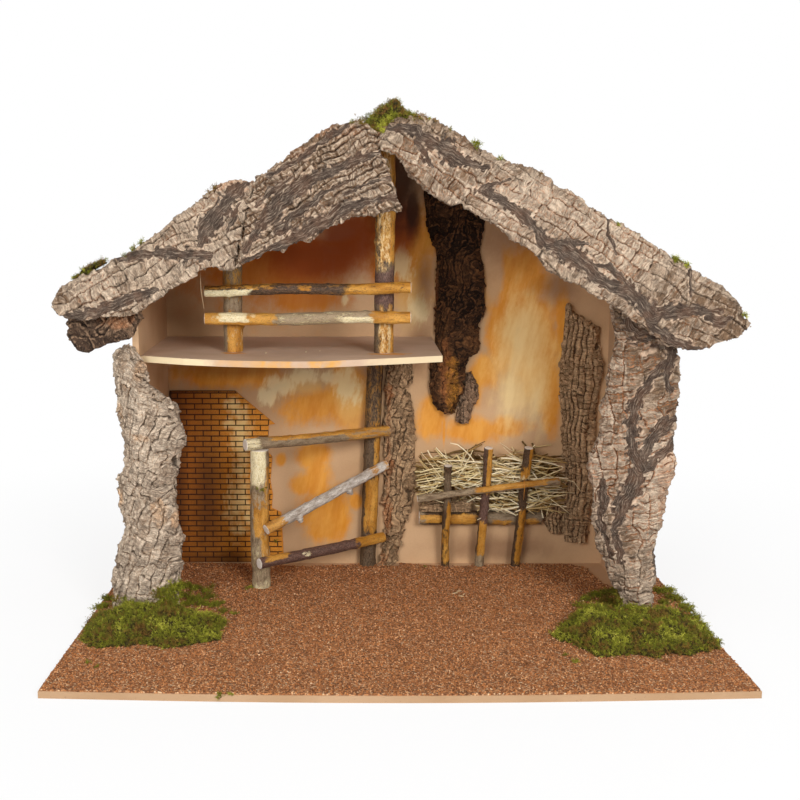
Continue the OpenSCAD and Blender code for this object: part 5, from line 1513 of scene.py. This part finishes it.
def hay_finish(colour):
    """Dry hay, each stalk in its own tone, the stalks at the back darkened as painted shade."""
    f = Finish("hay")
    fine = f.noise(500, 3)
    # The darkest stops colour the stalks at the back, as painted shade
    tone = f.ramp(f.layer("tint"), (0.0, srgb(104, 78, 40)), (0.28, srgb(170, 134, 76)), (0.6, colour),
                  (1.0, srgb(252, 238, 202)))
    tone = f.mix(fine.step(0.45, 0.7) * 0.25, tone, srgb(160, 134, 84))
    return f.surface(tone, 0.6, f.bump(fine, 0.3, 0.2))


def stalks(middles, headings, lengths, widths, curl, random):
    """Curved stalks through their middle places: their paths and their widths along them."""
    steps = np.linspace(-0.5, 0.5, 7)
    ahead = unit(headings)
    bow = random.normal(size=ahead.shape) * curl
    bow -= (bow * ahead).sum(1, keepdims=True) * ahead
    run = ahead[:, None] * steps[None, :, None] + bow[:, None] * (steps[None, :, None] ** 2 - 0.08)
    taper = widths[:, None] * (1 - 0.5 * np.abs(steps[None] + 0.1))
    return middles[:, None] + run * lengths[:, None, None], taper


def make_hay(count, long, colour):
    """Loose hay lying in the rack behind its sticks, and a few stalks that poke out past them."""
    random = np.random.default_rng(88)
    low, high = box_of("hay")
    wall = box_of("back_wall")[0][1]
    bar_left, bar_right = at_pixel(415, 500, low[1]), at_pixel(559, 480, low[1])
    middle_stick = at_pixel(489, 500, low[1]).x
    middles = low + (high - low) * (0.03 + 0.94 * random.random((count * 3, 3)))
    # Left of the middle stick the hay lies above the crossbar, and its top is uneven
    tuft = 0.10 * np.sin(middles[:, 0] / 9) + 0.07 * np.sin(middles[:, 0] / 3.7)
    level = (middles[:, 2] - low[2]) / (high[2] - low[2])
    bar = bar_left.z + (middles[:, 0] - bar_left.x) / (bar_right.x - bar_left.x) * (bar_right.z - bar_left.z)
    fits = ((middles[:, 2] > bar + 1) | (middles[:, 0] > middle_stick)) & (level < 0.86 + tuft)
    middles = middles[fits][:count]
    count = len(middles)
    leftness = 1 - smooth((middles[:, 0] - low[0]) / (high[0] - low[0]) * 1.6)
    steep = random.random(count) < 0.18 + 0.45 * leftness
    rise = np.where(steep, random.normal(size=count) * 1.3, random.normal(size=count) * 0.3)
    headings = np.stack([random.choice((-1, 1), count), 0.25 * random.normal(size=count), rise], 1)
    lengths = long / MM * random.uniform(0.22, 0.95, count)
    lengths *= 1 - 0.38 * np.abs(headings[:, 2]) / np.hypot(headings[:, 0], headings[:, 2])
    reach = np.minimum(middles[:, 0] - low[0] + 5, high[0] + 13 - middles[:, 0]) * 2
    lengths = np.minimum(lengths, np.maximum(reach, 12))
    front = random.random(count) < 0.05
    middles[front, 1] = low[1] - 1.5
    widths = random.uniform(0.28, 0.85, count)
    # Some stalks lie thicker at the back against the wall; their tint below is darkened as painted shade
    deep = (random.random(count) < 0.4) & ~front
    middles[deep, 1] = wall - 2.5 - 3 * random.random(deep.sum())
    widths[deep] *= 1.7
    paths, widths = stalks(middles, headings, lengths, widths, 0.32, random)
    paths[:, :, 1] = np.clip(paths[:, :, 1], low[1] - 3.0, wall - 0.8)
    paths[:, :, 2] = np.clip(paths[:, :, 2], low[2] - 5, high[2] + 8)
    points, faces, owner = tubes(paths, widths)
    depth = (middles[:, 1] - low[1]) / (high[1] - low[1])
    # Stalks are darker the further back they lie, and much darker against the wall: painted shade
    tint = np.clip(random.beta(1.2, 1.1, count) - 0.25 * depth + 0.17 - 0.7 * deep, 0, 1)
    mesh = build_mesh("hay_stalks", points, faces, rounded=True)
    paint(mesh, tint=tint[owner])
    add_piece("hay_stalks", mesh, "hay", hay_finish(colour), "hay")


# Fine threads of glue and stray straws: half width in mm and tint, then the pixel and the depth in mm of each place
# that they run through
THREADS = (
    (0.2, 0.3, (200, 272, -19), (201, 290, -19), (204, 309, -19)),
    (0.3, 0.9, (524, 479, 109.6), (524.6, 488, 109), (523.6, 500, 109.6)),
    (0.4, 0.0, (421, 452, 126), (442, 478, 120), (466, 487, 122)),
    (0.4, 0.1, (422, 487, 124), (432, 499, 118), (444, 503, 116)),
    (0.55, 0.0, (473, 450, 124), (463, 470, 122), (456, 480, 122)),
    (0.4, 0.05, (468, 449, 125), (463, 461, 124), (457, 476, 124)),
    (0.5, 0.0, (522, 464, 126), (510, 473, 124), (498, 483, 123)),
    (0.4, 0.1, (528, 497, 126), (552, 492, 122), (575, 493, 121)),
    (0.4, 0.0, (548, 497, 126), (560, 506, 123), (570, 514, 121)),
    (0.35, 0.1, (560, 478, 124), (574, 482, 120), (582, 493, 120)),
    (0.35, 0.1, (490, 508, 128), (498, 512, 124), (505, 504, 122)),
)
# Bits strewn on the ground and the loft: pixel of the frame, turn in degrees, half length in mm
STREWN = (
    (455, 594, 15, 2.4), (461, 597, -25, 2.4), (464, 595, 60, 1.6), (459, 592, 5, 2.0), (306, 353, 30, 0.7),
    (320, 352, 70, 0.7), (266, 354, 10, 0.6),
)
# Their half width and their height above what they lie on, in mm, and their tint
STREWN_WIDTH = 0.4
STREWN_LIFT = 0.9
STREWN_TINT = 0.05


def make_threads():
    """Threads of glue that hang from the bark and the rack, stray straws, and bits on the ground and the loft."""
    solids = surface_of(["ground_cover", "loft_floor"])
    rows = [(width, tint, [at_pixel(*place) for place in places]) for width, tint, *places in THREADS]
    for across, down, turn, half in STREWN:
        middle = seen_at(solids, across, down)[0] / MM + Vector((0, 0, STREWN_LIFT))
        way = Vector((math.cos(math.radians(turn)), math.sin(math.radians(turn)), 0.06)) * half
        rows.append((STREWN_WIDTH, STREWN_TINT, [middle + way * k for k in (-1, 0, 1)]))
    widths, tints, paths = zip(*rows)
    paths = np.array([[list(place) for place in path] for path in paths])
    points, faces, owner = tubes(paths, np.array(widths)[:, None] * np.array([0.7, 1.0, 0.7]))
    mesh = build_mesh("glue_threads", points, faces, rounded=True)
    paint(mesh, tint=np.array(tints)[owner])
    f = Finish("glue thread")
    tone = f.ramp(f.layer("tint"), (0.0, srgb(232, 214, 170)), (0.3, srgb(196, 170, 132)), (0.9, srgb(204, 132, 48)))
    add_piece("glue_threads", mesh, "hay", f.surface(tone, 0.5))


# ---------------------------------------------------------------- properties

def colour(name, description, *parts):
    """A colour that a user may change."""
    return bpy.props.FloatVectorProperty(
        name=name, description=description, size=3, min=0, max=1, subtype="COLOR", default=srgb(*parts)
    )


def length(name, description, millimetres):
    """A length that a user may change."""
    return bpy.props.FloatProperty(
        name=name, description=description, default=millimetres * MM, min=0.0001, unit="LENGTH", subtype="DISTANCE"
    )


class STABLE_PG_sizes(bpy.types.PropertyGroup):
    """Sizes and counts of the loose and soft pieces"""

    frond: length("Moss frond", "Length of a frond of moss", 4.2)
    stalk: length("Hay stalk", "Length of a long stalk of hay", 62)
    grain: length("Cork grain", "Width of a loose grain of cork", 1.3)
    groove: length("Mortar groove", "Depth of the grooves between the bricks", 0.5)
    fronds: bpy.props.IntProperty(name="Fronds", description="Fronds of moss on the larger mound", default=6600, min=1)
    stalks: bpy.props.IntProperty(name="Stalks", description="Stalks of hay in the rack", default=760, min=1)
    grains: bpy.props.IntProperty(name="Grains", description="Loose grains of cork", default=34000, min=1)


class STABLE_PG_colours(bpy.types.PropertyGroup):
    """Colours of the stable's finishes"""

    board: colour("Fibreboard", "Bare fibreboard", 208, 172, 136)
    board_shade: colour("Fibreboard shade", "Darker clouds in the fibreboard", 190, 152, 114)
    # Light bark is the pale bark; scaled up, it is also the painted highlight on the raised tops of the plates
    bark_light: colour("Light bark", "Worn tops of the bark plates", 212, 189, 164)
    bark_middle: colour("Middle bark", "Most of the bark", 130, 103, 79)
    # Deep bark colours the cracks, and also the painted shade in the hollows of the bark
    bark_deep: colour("Deep bark", "Cracks in the bark", 36, 23, 14)
    bark_rust: colour("Rusty bark", "Inner bark in the cracks", 194, 122, 72)
    vein: colour("Bark vein", "Smooth dark veins of the bark", 72, 59, 51)
    moss: colour("Moss", "Fresh moss", 134, 136, 32)
    hay: colour("Hay", "Dry hay", 224, 202, 146)
    cork: colour("Cork grains", "Cork grains on the ground", 198, 130, 76)


def cad_slots():
    """The material slot of each CAD node."""
    return {entry["node"]: entry["material_slot"] for entry in frame["record"]["subparts"]}


class StableOperator:
    """What the stable's operators share."""

    bl_options = {"REGISTER", "UNDO"}

    @classmethod
    def poll(cls, context):
        return context.scene is not None


class STABLE_OT_boards(StableOperator, bpy.types.Operator):
    """Give the boards of the house their fibreboard and their paint"""

    bl_idname = "stable.boards"
    bl_label = "Boards"

    def execute(self, context):
        tints = context.scene.stable_colours
        plain = board_finish("fibreboard", tints.board, tints.board_shade)
        finishes = {"back_wall": wall_finish(), "loft_floor": loft_finish(),
                    "base_board": board_finish("base board", tints.board, tints.board_shade, 0.25)}
        for node in ("base_board", "back_wall", "side_wall_left", "side_wall_right",
                     "roof_board_left", "roof_board_right", "loft_floor"):
            dress(cad_mesh(node), finishes.get(node, plain))
        return {"FINISHED"}


class STABLE_OT_bark(StableOperator, bpy.types.Operator):
    """Cover the stable in slabs of cracked bark"""

    bl_idname = "stable.bark"
    bl_label = "Bark slabs"

    def execute(self, context):
        tints = context.scene.stable_colours
        deep, rust, vein = tints.bark_deep, tints.bark_rust, tints.vein
        finishes = {
            name: bark_finish(name.replace("_", " "), *tones) for name, tones in {
                "bark": (tints.bark_light, tints.bark_middle, deep, rust, vein),
                "pale_bark": (srgb(222, 201, 177), srgb(152, 129, 107), deep, srgb(222, 168, 116), vein),
                "dark_bark": (srgb(134, 90, 54), srgb(42, 25, 14), srgb(5, 3, 2), rust, srgb(48, 36, 28)),
                "brown_bark": (srgb(180, 146, 116), srgb(84, 64, 50), srgb(20, 13, 9), rust, vein),
                "grey_bark": (srgb(204, 168, 128), srgb(140, 108, 76), deep, rust, vein),
            }.items()
        }
        own = dict.fromkeys(("bark_strip_centre", "bark_corner", "bark_corner_chip", "rack_bark"), "grey_bark")
        own["roof_bark_eave"] = own["bark_hanging_tip"] = "brown_bark"
        slots = cad_slots()
        for number, node in enumerate(SLABS, 1):
            make_slab(node, number, finishes[own.get(node, slots[node])], slots[node])
        return {"FINISHED"}


class STABLE_OT_twigs(StableOperator, bpy.types.Operator):
    """Turn the posts, rails and rack sticks into painted twigs"""

    bl_idname = "stable.twigs"
    bl_label = "Twigs"

    def execute(self, context):
        slots = cad_slots()
        finish = twig_finish("painted twig", srgb(50, 36, 24), srgb(168, 146, 116), srgb(116, 94, 70))
        silver = twig_finish("silver twig", srgb(96, 82, 70), srgb(212, 203, 192), srgb(166, 152, 138))
        for number, node in enumerate(TWIGS):
            make_twig(node, number, silver if slots[node] == "grey_stick" else finish, slots[node])
        return {"FINISHED"}


class STABLE_OT_bricks(StableOperator, bpy.types.Operator):
    """Engrave the brick panel behind the stall"""

    bl_idname = "stable.bricks"
    bl_label = "Brick panel"

    def execute(self, context):
        mesh = brick_mesh(context.scene.stable_sizes.groove / MM)
        add_piece("brick_courses", mesh, "brick_board", brick_finish(), "brick_panel")
        return {"FINISHED"}


class STABLE_OT_ground(StableOperator, bpy.types.Operator):
    """Cover the ground in cork grains"""

    bl_idname = "stable.ground"
    bl_label = "Cork ground"

    def execute(self, context):
        sizes, tints = context.scene.stable_sizes, context.scene.stable_colours
        dress(cad_mesh("ground_cover"), cork_finish(tints.cork))
        make_grains(sizes.grains // (1), sizes.grain, tints.cork)
        return {"FINISHED"}


class STABLE_OT_moss(StableOperator, bpy.types.Operator):
    """Grow moss on the ground, the ridge and the eave"""

    bl_idname = "stable.moss"
    bl_label = "Moss"

    def execute(self, context):
        sizes, tints = context.scene.stable_sizes, context.scene.stable_colours
        finishes = moss_finish(tints.moss), moss_bed_finish()
        for number, (node, share, length, flat) in enumerate((
            ("moss_left", 0.8, 1.0, True), ("moss_right", 1.0, 1.0, True),
            ("moss_ridge", 0.2, 0.95, False), ("moss_eave", 0.1, 0.7, False),
        )):
            make_moss(node, number, int(sizes.fronds * share), sizes.frond * length, finishes, flat)
        make_tufts(finishes[0])
        return {"FINISHED"}


class STABLE_OT_hay(StableOperator, bpy.types.Operator):
    """Fill the rack with hay"""

    bl_idname = "stable.hay"
    bl_label = "Hay"

    def execute(self, context):
        sizes, tints = context.scene.stable_sizes, context.scene.stable_colours
        make_hay(sizes.stalks, sizes.stalk, tints.hay)
        make_threads()
        return {"FINISHED"}


# Half width of the floor in mm
FLOOR_REACH = 6000.0
# The lamps and where they aim: name, place in metres, width in metres, power in watts
LAMPS = (
    ("key", (0.8, -2.05, 1.1), 0.8, 33.0),
    ("fill", (-0.9, -2.1, 0.85), 0.9, 21.0),
    ("top", (-0.1, -0.5, 2.0), 1.2, 8.0),
    ("behind", (0.3, 2.0, 1.2), 1.4, 9.0),
)
LAMP_AIM = Vector((0, 0, 0.2))


class STABLE_OT_stage(StableOperator, bpy.types.Operator):
    """Set up the floor, the lamps, the background and the camera"""

    bl_idname = "stable.stage"
    bl_label = "Stage"

    def execute(self, context):
        self.floor()
        self.lamps()
        self.world(context.scene)
        self.camera(context.scene)
        context.scene.view_settings.view_transform = "Standard"
        return {"FINISHED"}

    def floor(self):
        """A pale floor that takes shadows near the stable and is plain white further off."""
        corners = FLOOR_REACH * np.array([(-1, -1, 0), (1, -1, 0), (1, 1, 0), (-1, 1, 0)])
        mesh = build_mesh("floor", corners, np.array([[0, 1, 2, 3]]))
        f = Finish("pale floor")
        away = f.vector_math("LENGTH", f.place, out="Value").step(0.3, 0.75)
        plain = f.principled(srgb(250, 250, 250), 0.9, specular=0.0)
        glow = f.node("ShaderNodeEmission", None, {"Color": WHITE, "Strength": 1.0}, "Emission")
        share = f.background_rays() * (0.8 + 0.2 * away)
        dress(mesh, f.finished(f.node("ShaderNodeMixShader", None, {0: share, 1: plain, 2: glow}, "Shader")))
        floor = put("floor", mesh)

    def lamps(self):
        """Soft round lamps."""
        for name, place, width, power in LAMPS:
            lamp = bpy.data.lights.new(name, "AREA")
            lamp.shape = "DISK"
            lamp.size = width
            lamp.energy = power
            holder = put(name, lamp)
            holder.location = place
            holder.rotation_euler = (LAMP_AIM - Vector(place)).to_track_quat("-Z", "Y").to_euler()

    def world(self, scene):
        """White where it is seen, and dimmer as a light."""
        f = Finish("white studio", "worlds")
        level = 0.4 + 0.6 * f.background_rays()
        glow = f.node("ShaderNodeBackground", None, {"Color": WHITE, "Strength": level}, "Background")
        scene.world = f.finished(glow, "World")

    def camera(self, scene):
        """The camera of the photograph."""
        lens = bpy.data.cameras.new("camera")
        lens.sensor_width = SENSOR
        lens.lens = SENSOR * LENS_PX / FRAME_PX
        lens.shift_x = (FRAME_PX / 2 - CENTRE_PX[0]) / FRAME_PX
        lens.clip_start = 0.01
        lens.clip_end = 50
        scene.camera = put("camera", lens)
        scene.camera.location = CAMERA_PLACE
        scene.camera.rotation_euler = (math.pi / 2 - CAMERA_TILT, 0, 0)


class STABLE_PT_panel(bpy.types.Panel):
    """Sizes, colours and pieces of the stable"""

    bl_label = "Nativity stable"
    bl_idname = "STABLE_PT_panel"
    bl_space_type = "VIEW_3D"
    bl_region_type = "UI"
    bl_category = "Stable"

    def draw(self, context):
        for group in (context.scene.stable_sizes, context.scene.stable_colours):
            box = self.layout.box()
            for name in group.__annotations__:
                box.prop(group, name)
        for operator in OPERATORS:
            self.layout.operator(operator.bl_idname)


OPERATORS = (STABLE_OT_boards, STABLE_OT_bricks, STABLE_OT_ground, STABLE_OT_twigs, STABLE_OT_bark, STABLE_OT_hay,
             STABLE_OT_moss, STABLE_OT_stage)
CLASSES = (STABLE_PG_sizes, STABLE_PG_colours, *OPERATORS, STABLE_PT_panel)


def register():
    for cls in CLASSES:
        bpy.utils.register_class(cls)
    bpy.types.Scene.stable_sizes = bpy.props.PointerProperty(type=STABLE_PG_sizes)
    bpy.types.Scene.stable_colours = bpy.props.PointerProperty(type=STABLE_PG_colours)


def unregister():
    del bpy.types.Scene.stable_colours
    del bpy.types.Scene.stable_sizes
    for cls in reversed(CLASSES):
        bpy.utils.unregister_class(cls)


def main():
    register()
    for operator in OPERATORS:
        group, name = operator.bl_idname.split(".")
        getattr(getattr(bpy.ops, group), name)()


if __name__ == "__main__":
    main()
